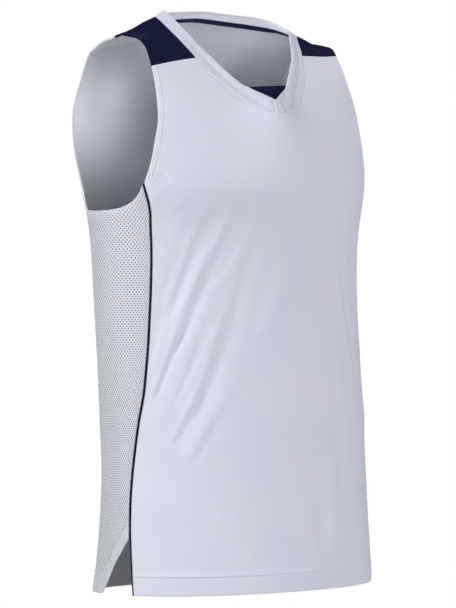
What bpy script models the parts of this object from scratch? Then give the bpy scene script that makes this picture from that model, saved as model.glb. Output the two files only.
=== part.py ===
"""Sleeveless basketball jersey in its worn shape, with one closed solid for each sewn piece.

Metres, +Z up. The front faces -Y and the wearer's left is +X. The origin lies between the side
neck points, at the height where the shoulders carry the cloth.
"""

import bpy
import bmesh
import numpy as np

# Driving sizes, metres
WALL = 0.0016
BAND_WALL = 0.0022
THIN_WALL = 0.0011
SEAM_GAP = 0.0003
HEM_RAISE = 0.0006
ARM_HEM_RAISE = 0.0005
TAPE_WIDTH = 0.0090
TAPE_ABOVE = 0.0025
TAPE_BEHIND = 0.0011
PIPING_HALF = 0.0015
PIPING_EDGE_HALF = 0.0008
PIPING_CROWN = 0.0011
CM = 0.01
SMOOTH_ANGLE = 50

# Cloth colours, linear red, green, blue, with roughness
WHITE_KNIT = (0.66, 0.68, 0.74, 0.62)
WHITE_MESH = (0.60, 0.62, 0.67, 0.70)
WHITE_RIB = (0.64, 0.65, 0.71, 0.66)
NAVY = (0.006, 0.010, 0.036, 0.58)

# Rings of the worn shape, from the hem up to the shoulder ridge, in centimetres.
# side is the height at the side line, and the rises lift the centre front and centre back above it.
# lean and sway move a ring along Y and X. crest is how far the centre front stands forward.
# tilt is how much lower the wearer's left lies beside the neck. curve shapes the back rise.
RING_COLUMNS = ("side", "half", "front", "back", "front_rise", "back_rise", "lean", "sway",
                "front_square", "back_square", "crest", "tilt", "curve")
RINGS = (
    (-73.20, 20.50, 12.50, 11.90, 0.00, -0.3, -1.0, 0.2, 2.15, 2.15, 0.0, 0.00, 2.5),
    (-70.80, 20.40, 12.20, 11.40, 0.00, -0.2, -1.1, 0.3, 2.15, 2.15, 0.0, 0.00, 2.5),
    (-65.80, 20.15, 11.60, 10.40, 0.00, 0.0, -1.2, 0.3, 2.15, 2.15, 0.0, 0.00, 2.5),
    (-58.80, 19.95, 11.10, 9.50, 0.00, 0.0, -1.1, 0.3, 2.15, 2.15, 0.0, 0.00, 2.5),
    (-50.80, 19.85, 10.80, 10.20, 0.00, 0.0, -0.9, 0.2, 2.15, 2.15, 0.0, 0.00, 2.5),
    (-42.80, 19.80, 10.40, 10.80, 0.00, 0.0, -0.6, 0.1, 2.15, 2.15, 0.0, 0.00, 2.5),
    (-34.80, 19.85, 9.80, 11.50, 0.00, 0.0, -0.3, 0.0, 2.15, 2.15, 0.2, 0.00, 2.5),
    (-27.80, 20.00, 10.00, 12.20, 0.00, 0.0, 0.0, 0.0, 2.25, 2.15, 0.5, 0.00, 2.5),
    (-21.80, 20.35, 10.90, 13.30, 0.00, 0.0, 0.0, 0.0, 2.40, 2.40, 1.0, 0.00, 2.5),
    (-16.30, 20.50, 9.90, 14.50, 0.00, 0.1, 0.0, 0.0, 2.65, 2.80, 1.7, 0.00, 2.5),
    (-12.30, 20.30, 8.70, 14.80, 0.00, 0.3, 0.0, 0.0, 3.05, 2.95, 2.1, 0.00, 2.5),
    (-10.10, 20.00, 7.80, 14.40, 0.00, 0.7, 0.0, 0.0, 3.30, 2.95, 1.75, 0.05, 2.5),
    (-7.90, 19.70, 6.30, 13.50, 0.10, 1.5, 0.0, 0.0, 4.00, 2.85, 1.8, 0.15, 2.5),
    (-5.70, 19.50, 4.75, 12.00, 0.50, 3.2, 0.0, 0.0, 5.00, 2.70, 1.1, 0.35, 2.5),
    (-4.60, 19.30, 3.80, 10.70, 0.85, 4.0, 0.0, 0.0, 5.50, 2.60, 0.5, 0.50, 2.5),
    (-3.65, 19.20, 2.50, 8.20, 1.90, 4.9, 0.0, 0.0, 5.00, 2.50, 0.2, 0.65, 2.5),
    (-3.25, 19.05, 1.15, 4.60, 4.10, 5.5, 0.0, 0.0, 4.00, 2.20, 0.0, 0.75, 2.3),
    (-3.05, 19.00, 0.00, 0.00, 5.90, 5.9, 0.0, 0.0, 3.00, 2.00, 0.0, 0.80, 1.5),
)
RIDGE = len(RINGS) - 1
FRONT_CURVE = 1.5
CREST_WIDTH = 3.2
CREST_SPREAD = 2.3
CREST_RING = 10.6
TILT_GAIN = 3.5
# How much the cloth over the shoulders rises or sags, in centimetres: at the ridge and in front of
# it, and just behind it, by the distance x from the centre
LIFT_COLUMNS = ("x", "ridge", "behind")
SHOULDER_LIFT = (
    (-19.0, -0.10, -0.35), (-17.3, -0.23, -0.65), (-15.6, -0.44, -1.10), (-13.9, -0.36, -1.40),
    (-12.2, -0.43, -1.50), (-10.5, -0.30, -1.25), (-7.5, -0.18, -0.85), (0.0, 0.0, -0.10),
    (12.6, -0.06, -0.10), (14.2, -0.20, -0.20), (15.0, 0.0, -0.10), (15.7, 0.17, 0.0),
    (17.3, 0.49, 0.30), (18.3, 0.24, 0.20), (19.0, 0.0, 0.0),
)
LIFT_FROM = {"front": 14.4, "back": 13.2}
LIFT_RINGS = 1.8

# A place on the cloth is (across, up). across is a turn in degrees: 0 at the centre line, 90 at the
# wearer's left side line. up counts the rings: 0 at the front hem, RIDGE over the shoulder, and
# twice RIDGE at the back hem. Below the arms, across also runs on past 90 round the side.
# The edges differ a little from side to side, so each row has the turn on the wearer's right, the
# turn on the left, and then the ring number.
TURN_COLUMN = {-1: 0, 1: 1}
RING_COLUMN = 2
ARMHOLE = (  # from the seam below the front of the arm, over the shoulder, to the back seam
    (63.2, 70.0, 7.98), (61.6, 67.5, 8.16), (58.5, 62.5, 8.55), (56.0, 58.0, 9.05), (54.5, 55.4, 9.50),
    (54.3, 54.6, 10.0), (54.7, 54.7, 10.9), (55.0, 55.3, 11.7), (55.1, 55.7, 12.4), (55.4, 56.7, 13.3),
    (55.8, 58.1, 14.1), (57.0, 60.8, 14.9), (58.6, 63.2, 15.4), (61.0, 65.3, 15.85), (64.0, 67.2, 16.3),
    (66.1, 68.2, 16.8), (66.9, 69.0, 17.4), (66.6, 67.5, 18.0), (65.2, 65.0, 19.0), (62.0, 62.8, 20.4),
    (61.5, 61.7, 22.0), (61.2, 61.2, 23.5), (61.3, 61.3, 24.8), (63.0, 63.0, 25.55), (66.2, 66.2, 26.02),
)
UNDER_ARM = (  # the same edge below the arm, from the front seam to the back seam
    (63.2, 70.0, 7.98), (66.0, 72.0, 7.77), (70.1, 75.0, 7.60), (76.3, 79.5, 7.50), (85.2, 86.5, 7.46),
    (94.1, 94.4, 7.46), (102.5, 102.5, 7.48), (109.6, 109.6, 7.55), (113.8, 113.8, 7.98),
)
FRONT_SEAM = (  # side seam of the front, from the hem up to the armhole
    (71.6, 73.4, 0.00), (73.1, 74.6, 1.00), (74.8, 76.0, 1.95), (74.8, 76.0, 2.56), (73.5, 75.6, 3.05),
    (71.3, 75.8, 3.48), (68.6, 75.4, 3.91), (65.1, 75.0, 4.37), (62.5, 74.6, 4.89), (60.5, 74.0, 5.34),
    (58.6, 73.2, 5.84), (57.8, 72.8, 6.24), (57.6, 72.4, 6.68), (58.3, 71.8, 7.14), (59.3, 71.0, 7.48),
    (63.2, 70.0, 7.98),
)
BACK_SEAM = (
    (109.5, 109.5, 0.00), (110.2, 110.2, 1.00), (111.0, 111.0, 1.95), (113.0, 113.0, 3.05),
    (115.5, 115.5, 3.91), (118.5, 118.5, 4.89), (120.5, 120.5, 5.84), (121.0, 121.0, 6.68),
    (119.3, 119.3, 7.30), (113.8, 113.8, 7.98),
)
SLIT = (  # lower edge of a side panel, from the back seam along the hem and up to the slit's top
    (109.5, 109.5, 0.00), (101.0, 101.5, 0.00), (93.8, 94.8, 0.02), (90.6, 91.8, 0.45),
    (88.4, 89.6, 0.90), (84.2, 85.6, 1.36), (79.8, 81.6, 1.66), (76.6, 78.4, 1.84), (74.0, 76.0, 1.95),
)
SLIT_TOP = 1.95
ARM_CORNER = 7.98
# The neckline from the centre front round to the centre back: the band's seam, its open edge, how
# far each side lies further out, in degrees, and how far the open edge stands up, in centimetres
NECK_COLUMNS = ("seam_across", "seam_up", "edge_across", "edge_up", "right_out", "left_out",
                "right_stand", "left_stand")
SIDE_NAMES = {-1: "right", 1: "left"}
NECKLINE = (
    (0.0, 9.96, 0.0, 10.78, 0.0, 0.0, 0.05, 0.05),
    (6.0, 10.10, 4.4, 11.15, 0.1, 0.0, 0.08, 0.08),
    (13.8, 10.64, 9.8, 11.60, 0.3, 0.4, 0.10, 0.10),
    (18.9, 11.40, 14.2, 12.20, 0.6, 0.2, 0.12, 0.10),
    (24.4, 12.28, 18.8, 12.80, 0.5, -0.3, 0.16, 0.12),
    (27.9, 13.05, 22.4, 13.50, 0.6, -0.9, 0.22, 0.14),
    (30.4, 13.95, 25.8, 14.55, 1.0, -0.8, 0.30, 0.14),
    (33.4, 15.00, 28.6, 15.45, 1.2, -0.6, 0.34, 0.15),
    (35.9, 16.00, 31.0, 16.20, 0.9, -0.8, 0.34, 0.17),
    (38.2, 16.85, 32.8, 16.85, 0.6, -1.2, 0.26, 0.25),
    (38.6, 17.50, 32.3, 17.40, -1.4, -0.2, 0.20, 0.50),
    (35.2, 17.93, 28.9, 17.72, -1.2, 0.6, 0.40, 0.55),
    (28.6, 18.28, 22.6, 17.98, 0.3, 0.4, 0.55, 0.46),
    (16.0, 18.60, 12.0, 18.17, 0.2, 0.1, 0.42, 0.32),
    (0.0, 18.66, 0.0, 18.17, 0.0, 0.0, 0.28, 0.28),
)
# up of each yoke's front seam at the armhole and at the neck, and of its back seam
YOKE_SEAMS = {-1: (12.39, 12.84, 17.60), 1: (15.08, 14.60, 17.75)}
# Where the insert lies behind the band: its lower and upper corners, counted in the band's stations
# from the centre front, and how far across the band its side edges lie
INSERT_STATIONS = {-1: (0.7, 4.7), 1: (0.55, 4.4)}
INSERT_ACROSS = 0.55
INSERT_POINTS = 7

# Folds and creases as (turn, height) from and to, width and depth in centimetres. Depth is positive
# where the cloth stands out and negative in a trough.
DEGREE = 0.30
FOLD_COLUMNS = ("from_turn", "from_height", "to_turn", "to_height", "width", "depth")
FOLDS = (
    (-34, -25.5, -61, -43.7, 1.9, -0.45),
    (-21, -24.7, -42, -37.7, 2.0, -0.45),
    (-42, -37.7, -64, -49.5, 1.7, -0.55),
    (-15, -28.6, -26, -39.0, 2.2, -0.35),
    (-26, -39.0, -49, -53.5, 2.3, -0.55),
    (-22, -32.5, -43, -43.5, 2.2, 0.35),
    (-50, -19.0, -58, -22.5, 1.3, -0.20),
    (-47, -24.0, -57, -26.5, 1.5, -0.20),
    (-1, -32.0, -9, -40.0, 2.6, 0.25),
    (26, -44.5, 40, -58.0, 2.4, 0.30),
    (15, -62.0, 19, -69.0, 2.2, -0.25),
    (79, -46.0, 64, -52.0, 1.8, 0.30),
    (-50, -60.0, -44, -71.0, 2.6, 0.25),
    (58, -20.5, 49, -29.0, 1.8, -0.25),
    (-88, -40.0, -94, -62.0, 2.4, -0.30),
    (90, -38.0, 97, -60.0, 2.4, -0.30),
    (150, -30.0, 128, -50.0, 2.6, -0.50),
    (163, -36.0, 142, -58.0, 2.8, -0.40),
    (-153, -29.0, -130, -48.0, 2.6, -0.45),
    (-166, -38.0, -146, -60.0, 2.8, -0.40),
    (178, -16.0, 176, -34.0, 3.0, -0.35),
    (135, -58.0, 140, -71.0, 2.6, 0.30),
    (-138, -58.0, -141, -71.0, 2.6, 0.30),
)

# The middle part of a fold has its full depth, and its ends fade out over a share of its length
FOLD_FULL = 0.35
FOLD_FADE = 0.045

# Grid of the pieces: intervals across a yoke, along the neckline, over the shoulder, and by height
FRONT_YOKE_CELLS = 6
FRONT_NECK_CELLS = 9
BACK_NECK_CELLS = 8
SHOULDER_CELLS = 7
UPPER_CELLS = 14
SIDE_CELLS = 9
HEM_ROWS = (0.0, 0.5, 0.92, 1.04)
ABOVE_HEM = 1.5
SLIT_ROWS = (SLIT_TOP, 2.10, 2.24, 2.32)
LOWER_CELLS = 15
BAND_FRACTIONS = (0.0, 0.35, 0.7, 1.0)
ARM_HEM_TOP = 7.83
TAPE_CELLS = 2
# Shares of a row that the narrow strips along its edges take
EDGE_STRIP = 0.024
STRAP_HEM = 0.14
SIDE_STRIPS = (0.10, 0.07)
# Section of the piping: place across it, height of its crown and depth of its underside, as shares
PIPING_SECTION = (
    (-1.0, 0.25, -0.85), (-0.55, 0.85, -1.0), (0.0, 1.0, -1.0), (0.55, 0.85, -1.0), (1.0, 0.25, -0.85),
)


def clear_scene():
    for old in list(bpy.data.objects):
        bpy.data.objects.remove(old, do_unlink=True)


def spline(rows, places):
    """Catmull-Rom curve through the rows. places counts rows from 0, and fractions lie between."""
    table = np.array(rows, float)
    last = len(table) - 1
    table = np.vstack([2 * table[0] - table[1], table, 2 * table[-1] - table[-2]])
    places = np.clip(np.asarray(places, float), 0, last)
    index = np.clip(np.floor(places).astype(int), 0, last - 1)
    step = (places - index)[..., None]
    a, b, c, d = (table[index + k] for k in range(4))
    return 0.5 * (2 * b + (c - a) * step + (2 * a - 5 * b + 4 * c - d) * step ** 2
                  + (3 * b - a - 3 * c + d) * step ** 3)


def place_of(rows, column, value):
    """The place along the rows where a column has this value. The column rises or falls throughout."""
    places = np.linspace(0, len(rows) - 1, 1601)
    values = spline(rows, places)[:, column]
    if values[0] > values[-1]:
        return np.interp(-np.asarray(value, float), -values, places)
    return np.interp(value, values, places)


def ring_values(ring):
    """Every column of RINGS at these ring numbers. The depths turn over at the shoulder ridge."""
    over = np.array(RINGS[-2], float)
    over[2:4] *= -1
    table = np.vstack([np.array(RINGS, float), over])
    values = spline(table, ring)
    return {name: values[..., k] for k, name in enumerate(RING_COLUMNS)}


def body_point(across, up):
    """Point of the worn shape without folds."""
    across = np.asarray(across, float)
    up = np.asarray(up, float)
    over = up > RIDGE
    ring = np.where(over, 2 * RIDGE - up, up)
    turn = np.radians(np.where(over, np.where(across < 0, -180, 180) - across, across))
    v = ring_values(ring)
    sine = np.sin(turn)
    cosine = np.cos(turn)
    reach = np.minimum(np.abs(sine), 1.0)
    front = cosine > 0
    square = np.where(front, v["front_square"], v["back_square"])
    depth = np.maximum(1 - reach ** square, 0) ** (1 / square)
    width = CREST_WIDTH + CREST_SPREAD * np.maximum(CREST_RING - ring, 0)
    crest = v["crest"] / (1 + (v["half"] * sine / width) ** 2) ** 1.5
    rise = np.where(front, v["front_rise"] * (1 - reach ** FRONT_CURVE),
                    v["back_rise"] * (1 - reach ** v["curve"]))
    behind = np.clip(ring - RIDGE + 1, 0, 1)
    tilt = v["tilt"] * TILT_GAIN * np.where(front, 1.0, behind) * sine * cosine ** 4
    x = v["half"] * sine + v["sway"]
    fade = np.clip((ring - np.where(front, LIFT_FROM["front"], LIFT_FROM["back"])) / LIFT_RINGS, 0, 1)
    lifts = dict(zip(LIFT_COLUMNS, np.array(SHOULDER_LIFT).T))
    at_ridge, at_back = (np.interp(x, lifts["x"], lifts[name]) for name in ("ridge", "behind"))
    ahead = np.where(front, 1.0, behind)
    lift = (ahead * at_ridge + (1 - ahead) * at_back) * fade * fade * (3 - 2 * fade)
    y = v["lean"] + np.where(front, -v["front"] * depth - crest, v["back"] * depth)
    z = v["side"] + rise - tilt + lift
    return np.stack([x, y, z], -1) * CM


def outward(across, up):
    """Unit normal of the worn shape, pointing away from the wearer."""
    along = body_point(across + 0.2, up) - body_point(across - 0.2, up)
    rising = body_point(across, up + 0.02) - body_point(across, up - 0.02)
    normal = np.cross(along, rising)
    return normal / np.linalg.norm(normal, axis=-1, keepdims=True)


def fold_height(across, up, base):
    """How far the folds move the cloth out, in metres."""
    over = up > RIDGE
    turn = np.where(over, np.where(across < 0, -180, 180) - across, across)
    height = base[..., 2] / CM
    total = np.zeros_like(turn)
    for row in FOLDS:
        fold = dict(zip(FOLD_COLUMNS, row))
        run = np.array([(fold["to_turn"] - fold["from_turn"]) * DEGREE,
                        fold["to_height"] - fold["from_height"]])
        length = np.hypot(*run)
        offset_x = (turn - fold["from_turn"]) * DEGREE
        offset_y = height - fold["from_height"]
        along = (offset_x * run[0] + offset_y * run[1]) / length ** 2
        aside = (offset_x * run[1] - offset_y * run[0]) / length
        taper = np.exp(-np.maximum(np.abs(along - 0.5) - FOLD_FULL, 0) ** 2 / FOLD_FADE)
        total += fold["depth"] * taper * np.exp(-(aside / fold["width"]) ** 2)
    return total * CM


def cloth(across, up):
    """Folded outer surface and its normals."""
    across = np.asarray(across, float)
    up = np.asarray(up, float)
    base = body_point(across, up)
    normal = outward(across, up)
    return base + normal * fold_height(across, up, base)[..., None], normal


def patch(bottom, top, left, right):
    """Grid of cloth places between four edges. Each edge is an array of (across, up)."""
    columns = np.linspace(0, 1, len(bottom))
    rows = np.linspace(0, 1, len(left))
    lengths = np.cumsum(np.r_[0, np.linalg.norm(np.diff(left * [DEGREE, 3], axis=0), axis=1)])
    if lengths[-1] > 0:
        rows = lengths / lengths[-1]
    lengths = np.cumsum(np.r_[0, np.abs(np.diff(bottom[:, 0]))])
    if lengths[-1] > 0:
        columns = lengths / lengths[-1]
    s = columns[None, :, None]
    t = rows[:, None, None]
    ruled = (1 - t) * bottom[None] + t * top[None] + (1 - s) * left[:, None] + s * right[:, None]
    corners = ((1 - s) * (1 - t) * bottom[0] + s * (1 - t) * bottom[-1]
               + (1 - s) * t * top[0] + s * t * top[-1])
    return ruled - corners


def pull_in(points, left=0.0, right=0.0, bottom=0.0, top=0.0):
    """Move the outer rows and columns of a grid of points inwards, square to the edge."""
    points = points.copy()
    edges = ((bottom, points[0], points[1].copy()), (top, points[-1], points[-2].copy()),
             (left, points[:, 0], points[:, 1].copy()), (right, points[:, -1], points[:, -2].copy()))
    for amount, edge, inner in edges:
        if amount:
            tangent = np.gradient(edge, axis=0)
            tangent /= np.linalg.norm(tangent, axis=-1, keepdims=True)
            inwards = inner - edge
            inwards -= tangent * np.sum(inwards * tangent, axis=-1, keepdims=True)
            inwards /= np.linalg.norm(inwards, axis=-1, keepdims=True)
            edge += inwards * amount
    return points


def material(name, colour):
    red, green, blue, roughness = colour
    finish = bpy.data.materials.new(name)
    finish.use_nodes = True
    shader = finish.node_tree.nodes["Principled BSDF"]
    shader.inputs["Base Color"].default_value = (red, green, blue, 1)
    shader.inputs["Roughness"].default_value = roughness
    shader.inputs["Metallic"].default_value = 0
    return finish


def closed_sheet(name, outer, inner, colour, loop=False):
    """Closed wall between two grids of points. A loop joins its last column to its first."""
    rows, columns = outer.shape[:2]
    work = bmesh.new()
    out = [[work.verts.new(outer[i, j]) for j in range(columns)] for i in range(rows)]
    back = [[work.verts.new(inner[i, j]) for j in range(columns)] for i in range(rows)]
    spans = columns if loop else columns - 1
    for i in range(rows - 1):
        for j in range(spans):
            k = (j + 1) % columns
            work.faces.new((out[i][j], out[i][k], out[i + 1][k], out[i + 1][j]))
            work.faces.new((back[i][j], back[i + 1][j], back[i + 1][k], back[i][k]))
    for j in range(spans):
        k = (j + 1) % columns
        work.faces.new((out[0][j], back[0][j], back[0][k], out[0][k]))
        work.faces.new((out[-1][j], out[-1][k], back[-1][k], back[-1][j]))
    if not loop:
        for i in range(rows - 1):
            work.faces.new((out[i][0], out[i + 1][0], back[i + 1][0], back[i][0]))
            work.faces.new((out[i][-1], back[i][-1], back[i + 1][-1], out[i + 1][-1]))
    bmesh.ops.triangulate(work, faces=work.faces[:], quad_method="SHORT_EDGE")
    mesh = bpy.data.meshes.new(name)
    work.to_mesh(mesh)
    work.free()
    mesh.shade_smooth()
    mesh.set_sharp_from_angle(angle=np.radians(SMOOTH_ANGLE))
    mesh.materials.append(material(name + "_cloth", colour))
    bpy.context.collection.objects.link(bpy.data.objects.new(name, mesh))


def sewn_piece(name, grid, colour, edges, raised):
    """Closed wall over a grid of cloth places. raised lifts parts of the outer side, as a hem does."""
    outer, normal = cloth(grid[..., 0], grid[..., 1])
    outer = pull_in(outer, **edges)
    closed_sheet(name, outer + normal * raised[..., None], outer - normal * WALL, colour)


def neck_values(place):
    """Every column of NECKLINE at this place along its rows."""
    values = spline(NECKLINE, place)
    return {name: values[..., k] for k, name in enumerate(NECK_COLUMNS)}


def neck_place(side, place, fraction=0.0):
    """Cloth place on the neck band: fraction 0 is its seam and 1 its open edge."""
    row = neck_values(place)
    fraction = np.asarray(fraction, float)
    across = row["seam_across"] + fraction * (row["edge_across"] - row["seam_across"])
    across = side * (across + row[SIDE_NAMES[side] + "_out"])
    up = row["seam_up"] + fraction * (row["edge_up"] - row["seam_up"])
    return np.stack([across, up], -1)


def neck_stand(side, place):
    """How far the band's open edge stands up, in metres."""
    return neck_values(place)[SIDE_NAMES[side] + "_stand"] * CM


def edge_place(rows, side, place):
    """Cloth place on an edge, counted along its rows."""
    values = spline(rows, place)
    return np.stack([side * values[..., TURN_COLUMN[side]], values[..., RING_COLUMN]], -1)


def armhole_place(side, up):
    """Cloth place on an armhole's edge at these ring numbers."""
    return edge_place(ARMHOLE, side, place_of(ARMHOLE, RING_COLUMN, up))


def seam_place(rows, side, ring):
    """Cloth place on a side seam at these ring numbers."""
    return edge_place(rows, side, place_of(rows, RING_COLUMN, ring))


def neck_stops(side):
    """Places along NECKLINE of the yoke's front seam and back seam."""
    _, neck_up, back_up = YOKE_SEAMS[side]
    column = NECK_COLUMNS.index("seam_up")
    return place_of(NECKLINE, column, neck_up), place_of(NECKLINE, column, back_up)


def strap_steps():
    """Fractions across a strap, with the armhole's hem as the first one."""
    return np.r_[0.0, np.linspace(STRAP_HEM, 1.0, FRONT_YOKE_CELLS)]


def yoke_seam(side, back=False):
    """Seam between a yoke and the front or back, from the armhole to the neck."""
    arm_up, _, back_up = YOKE_SEAMS[side]
    front_stop, back_stop = neck_stops(side)
    start = armhole_place(side, back_up if back else arm_up)
    end = neck_place(side, back_stop if back else front_stop)
    return start + strap_steps()[:, None] * (end - start)


def top_edge(back=False):
    """Upper edge of the front or back, from the wearer's right armhole to the left one."""
    halves = {}
    for side in (-1, 1):
        stop = neck_stops(side)[1 if back else 0]
        if back:
            places = np.linspace(stop, len(NECKLINE) - 1, BACK_NECK_CELLS + 1)
        else:
            places = np.linspace(stop, 0, FRONT_NECK_CELLS + 1)
        halves[side] = np.vstack([yoke_seam(side, back), neck_place(side, places[1:])])
    return np.vstack([halves[-1], halves[1][::-1][1:]])


def row_edges(left, right, cells):
    """A level row of cloth places between two edges, with a narrow strip along each edge."""
    steps = np.r_[0.0, np.linspace(EDGE_STRIP, 1 - EDGE_STRIP, cells - 1), 1.0]
    return left + steps[:, None] * (right - left)


def seam_rows():
    """Ring numbers of the rows that the front and side share, and those of the back and side."""
    front = np.r_[SLIT_ROWS, np.linspace(SLIT_ROWS[-1], ARM_HEM_TOP, LOWER_CELLS + 1)[1:], ARM_CORNER]
    back = np.r_[HEM_ROWS, np.linspace(HEM_ROWS[-1], ARM_HEM_TOP, LOWER_CELLS + 1)[1:], ARM_CORNER]
    return front, back


def hem_profile(rows, columns, hem_rows, first_upper, last_upper):
    """Raised hems: the lowest rows, and the outer columns of the rows beside the armholes."""
    raised = np.zeros((rows, columns))
    raised[hem_rows] = HEM_RAISE
    for j in (0, 1, -2, -1):
        raised[first_upper:last_upper, j] = np.maximum(raised[first_upper:last_upper, j], ARM_HEM_RAISE)
    return raised


def front_panel():
    cells = 2 * (FRONT_YOKE_CELLS + FRONT_NECK_CELLS)
    shared, _ = seam_rows()
    rings = np.r_[HEM_ROWS, ABOVE_HEM, shared]
    lower = np.array([row_edges(seam_place(FRONT_SEAM, -1, r), seam_place(FRONT_SEAM, 1, r), cells)
                      for r in rings])
    sides = {}
    for side in (-1, 1):
        ups = np.linspace(ARM_CORNER, YOKE_SEAMS[side][0], UPPER_CELLS + 1)
        sides[side] = armhole_place(side, ups)
    upper = patch(lower[-1], top_edge(), sides[-1], sides[1])
    grid = np.vstack([lower, upper[1:]])
    raised = hem_profile(len(grid), cells + 1, slice(0, 3), len(lower) - 1, len(grid))
    edge = PIPING_HALF + SEAM_GAP
    outer, normal = cloth(grid[..., 0], grid[..., 1])
    pulled = pull_in(outer, top=SEAM_GAP / 2)
    below = pull_in(outer, left=edge, right=edge, top=SEAM_GAP / 2)
    corner = len(lower)
    pulled[:corner] = below[:corner]
    inner = pulled - normal * WALL
    closed_sheet("front_panel", pulled + normal * raised[..., None], inner, WHITE_KNIT)


def back_panel():
    cells = 2 * (FRONT_YOKE_CELLS + BACK_NECK_CELLS)
    _, shared = seam_rows()
    lower = []
    for ring in shared[::-1]:
        left = seam_place(BACK_SEAM, -1, ring)
        right = seam_place(BACK_SEAM, 1, ring)
        ends = [np.array([side * (180 - abs(end[0])), 2 * RIDGE - ring])
                for side, end in ((-1, left), (1, right))]
        lower.append(row_edges(ends[0], ends[1], cells))
    lower = np.array(lower)
    sides = {}
    for side in (-1, 1):
        ups = np.linspace(YOKE_SEAMS[side][2], 2 * RIDGE - ARM_CORNER, UPPER_CELLS + 1)
        sides[side] = armhole_place(side, ups)
    upper = patch(top_edge(back=True), lower[0], sides[-1], sides[1])
    grid = np.vstack([upper, lower[1:]])
    count = len(grid)
    raised = hem_profile(count, cells + 1, slice(count - 3, count), 0, len(upper))
    outer, normal = cloth(grid[..., 0], grid[..., 1])
    pulled = pull_in(outer, bottom=SEAM_GAP / 2)
    below = pull_in(outer, left=SEAM_GAP / 2, right=SEAM_GAP / 2, bottom=SEAM_GAP / 2)
    corner = len(upper) - 1
    pulled[corner:] = below[corner:]
    inner = pulled - normal * WALL
    closed_sheet("back_panel", pulled + normal * raised[..., None], inner, WHITE_KNIT)


def side_panel(side, name):
    """Mesh panel between the front seam and the back seam, with the slit's curved lower edge."""
    front_rows, back_rows = seam_rows()
    front_edge = seam_place(FRONT_SEAM, side, front_rows)
    back_edge = seam_place(BACK_SEAM, side, back_rows)
    steps = np.r_[0.0, np.linspace(SIDE_STRIPS[0], 1 - SIDE_STRIPS[1], SIDE_CELLS - 1), 1.0]
    slit = edge_place(SLIT, side, steps * (len(SLIT) - 1))
    arm = edge_place(UNDER_ARM, side, (1 - steps) * (len(UNDER_ARM) - 1))
    seams = {"left": SEAM_GAP / 2, "right": PIPING_HALF + SEAM_GAP}
    if side < 0:
        grid = patch(slit, arm, back_edge, front_edge)
    else:
        grid = patch(slit[::-1], arm[::-1], front_edge, back_edge)
        seams = {"left": PIPING_HALF + SEAM_GAP, "right": SEAM_GAP / 2}
    raised = np.zeros(grid.shape[:2])
    raised[:3] = HEM_RAISE
    raised[-2:] = ARM_HEM_RAISE
    sewn_piece(name, grid, WHITE_MESH, seams, raised)


def yoke(side, name):
    """Shoulder piece from the front seam over the ridge to the back seam."""
    arm_up, _, back_up = YOKE_SEAMS[side]
    front_stop, back_stop = neck_stops(side)
    arm_edge = armhole_place(side, np.linspace(arm_up, back_up, SHOULDER_CELLS + 1))
    neck_edge = neck_place(side, np.linspace(front_stop, back_stop, SHOULDER_CELLS + 1))
    front = yoke_seam(side)
    back = yoke_seam(side, back=True)
    if side < 0:
        grid = patch(front, back, arm_edge, neck_edge)
        edges = {"right": SEAM_GAP / 2}
        arm_columns = (0, 1)
    else:
        grid = patch(front[::-1], back[::-1], neck_edge, arm_edge)
        edges = {"left": SEAM_GAP / 2}
        arm_columns = (-1, -2)
    edges.update(bottom=SEAM_GAP / 2, top=SEAM_GAP / 2)
    raised = np.zeros(grid.shape[:2])
    for j in arm_columns:
        raised[:, j] = ARM_HEM_RAISE
    sewn_piece(name, grid, NAVY, edges, raised)


def between(points, place):
    """Points at fractional places along the first axis of an array."""
    place = np.asarray(place, float)
    low = np.minimum(np.floor(place).astype(int), len(points) - 2)
    step = (place - low).reshape(place.shape + (1,) * (points.ndim - 1))
    return (1 - step) * points[low] + step * points[low + 1]


def neck_places(side):
    """Places along NECKLINE where the neighbours' grids meet the band, from front to back."""
    front_stop, back_stop = neck_stops(side)
    front = np.linspace(0, front_stop, FRONT_NECK_CELLS + 1)
    shoulder = np.linspace(front_stop, back_stop, SHOULDER_CELLS + 1)
    back = np.linspace(back_stop, len(NECKLINE) - 1, BACK_NECK_CELLS + 1)
    return np.r_[front, shoulder[1:], back[1:]]


def collar_band():
    """White neck band, a ring whose inner edge comes to a point at the centre front."""
    fractions = np.array(BAND_FRACTIONS)[:, None]
    left = neck_place(1, neck_places(1)[None], fractions)
    right = neck_place(-1, neck_places(-1)[None], fractions)
    grid = np.concatenate([left, right[:, ::-1][:, 1:-1]], axis=1)
    outer, normal = cloth(grid[..., 0], grid[..., 1])
    wrapped = np.concatenate([outer[:, -1:], outer, outer[:, :1]], axis=1)
    outer = pull_in(wrapped, bottom=SEAM_GAP / 2)[:, 1:-1]
    stand = np.r_[neck_stand(1, neck_places(1)), neck_stand(-1, neck_places(-1))[::-1][1:-1]]
    outer = outer + normal * (stand * fractions ** 2)[..., None]
    inner = outer - normal * BAND_WALL
    closed_sheet("collar_band", outer, inner, WHITE_RIB, loop=True)
    return inner - normal * SEAM_GAP


def neck_insert(behind_band):
    """Navy three-cornered piece behind the point of the neckline, with a straight top edge."""
    row = np.interp(INSERT_ACROSS, BAND_FRACTIONS, np.arange(len(BAND_FRACTIONS)))
    line = between(behind_band, row)
    ends = {}
    for side, (tip, top) in INSERT_STATIONS.items():
        stations = line if side > 0 else np.roll(line[::-1], 1, axis=0)
        ends[side] = between(stations, np.linspace(tip, top, INSERT_POINTS))
    steps = np.linspace(0, 1, INSERT_POINTS)[None, :, None]
    outer = (1 - steps) * ends[-1][:, None] + steps * ends[1][:, None]
    closed_sheet("neck_insert", outer, outer + np.array([0.0, THIN_WALL, 0.0]), NAVY)


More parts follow.
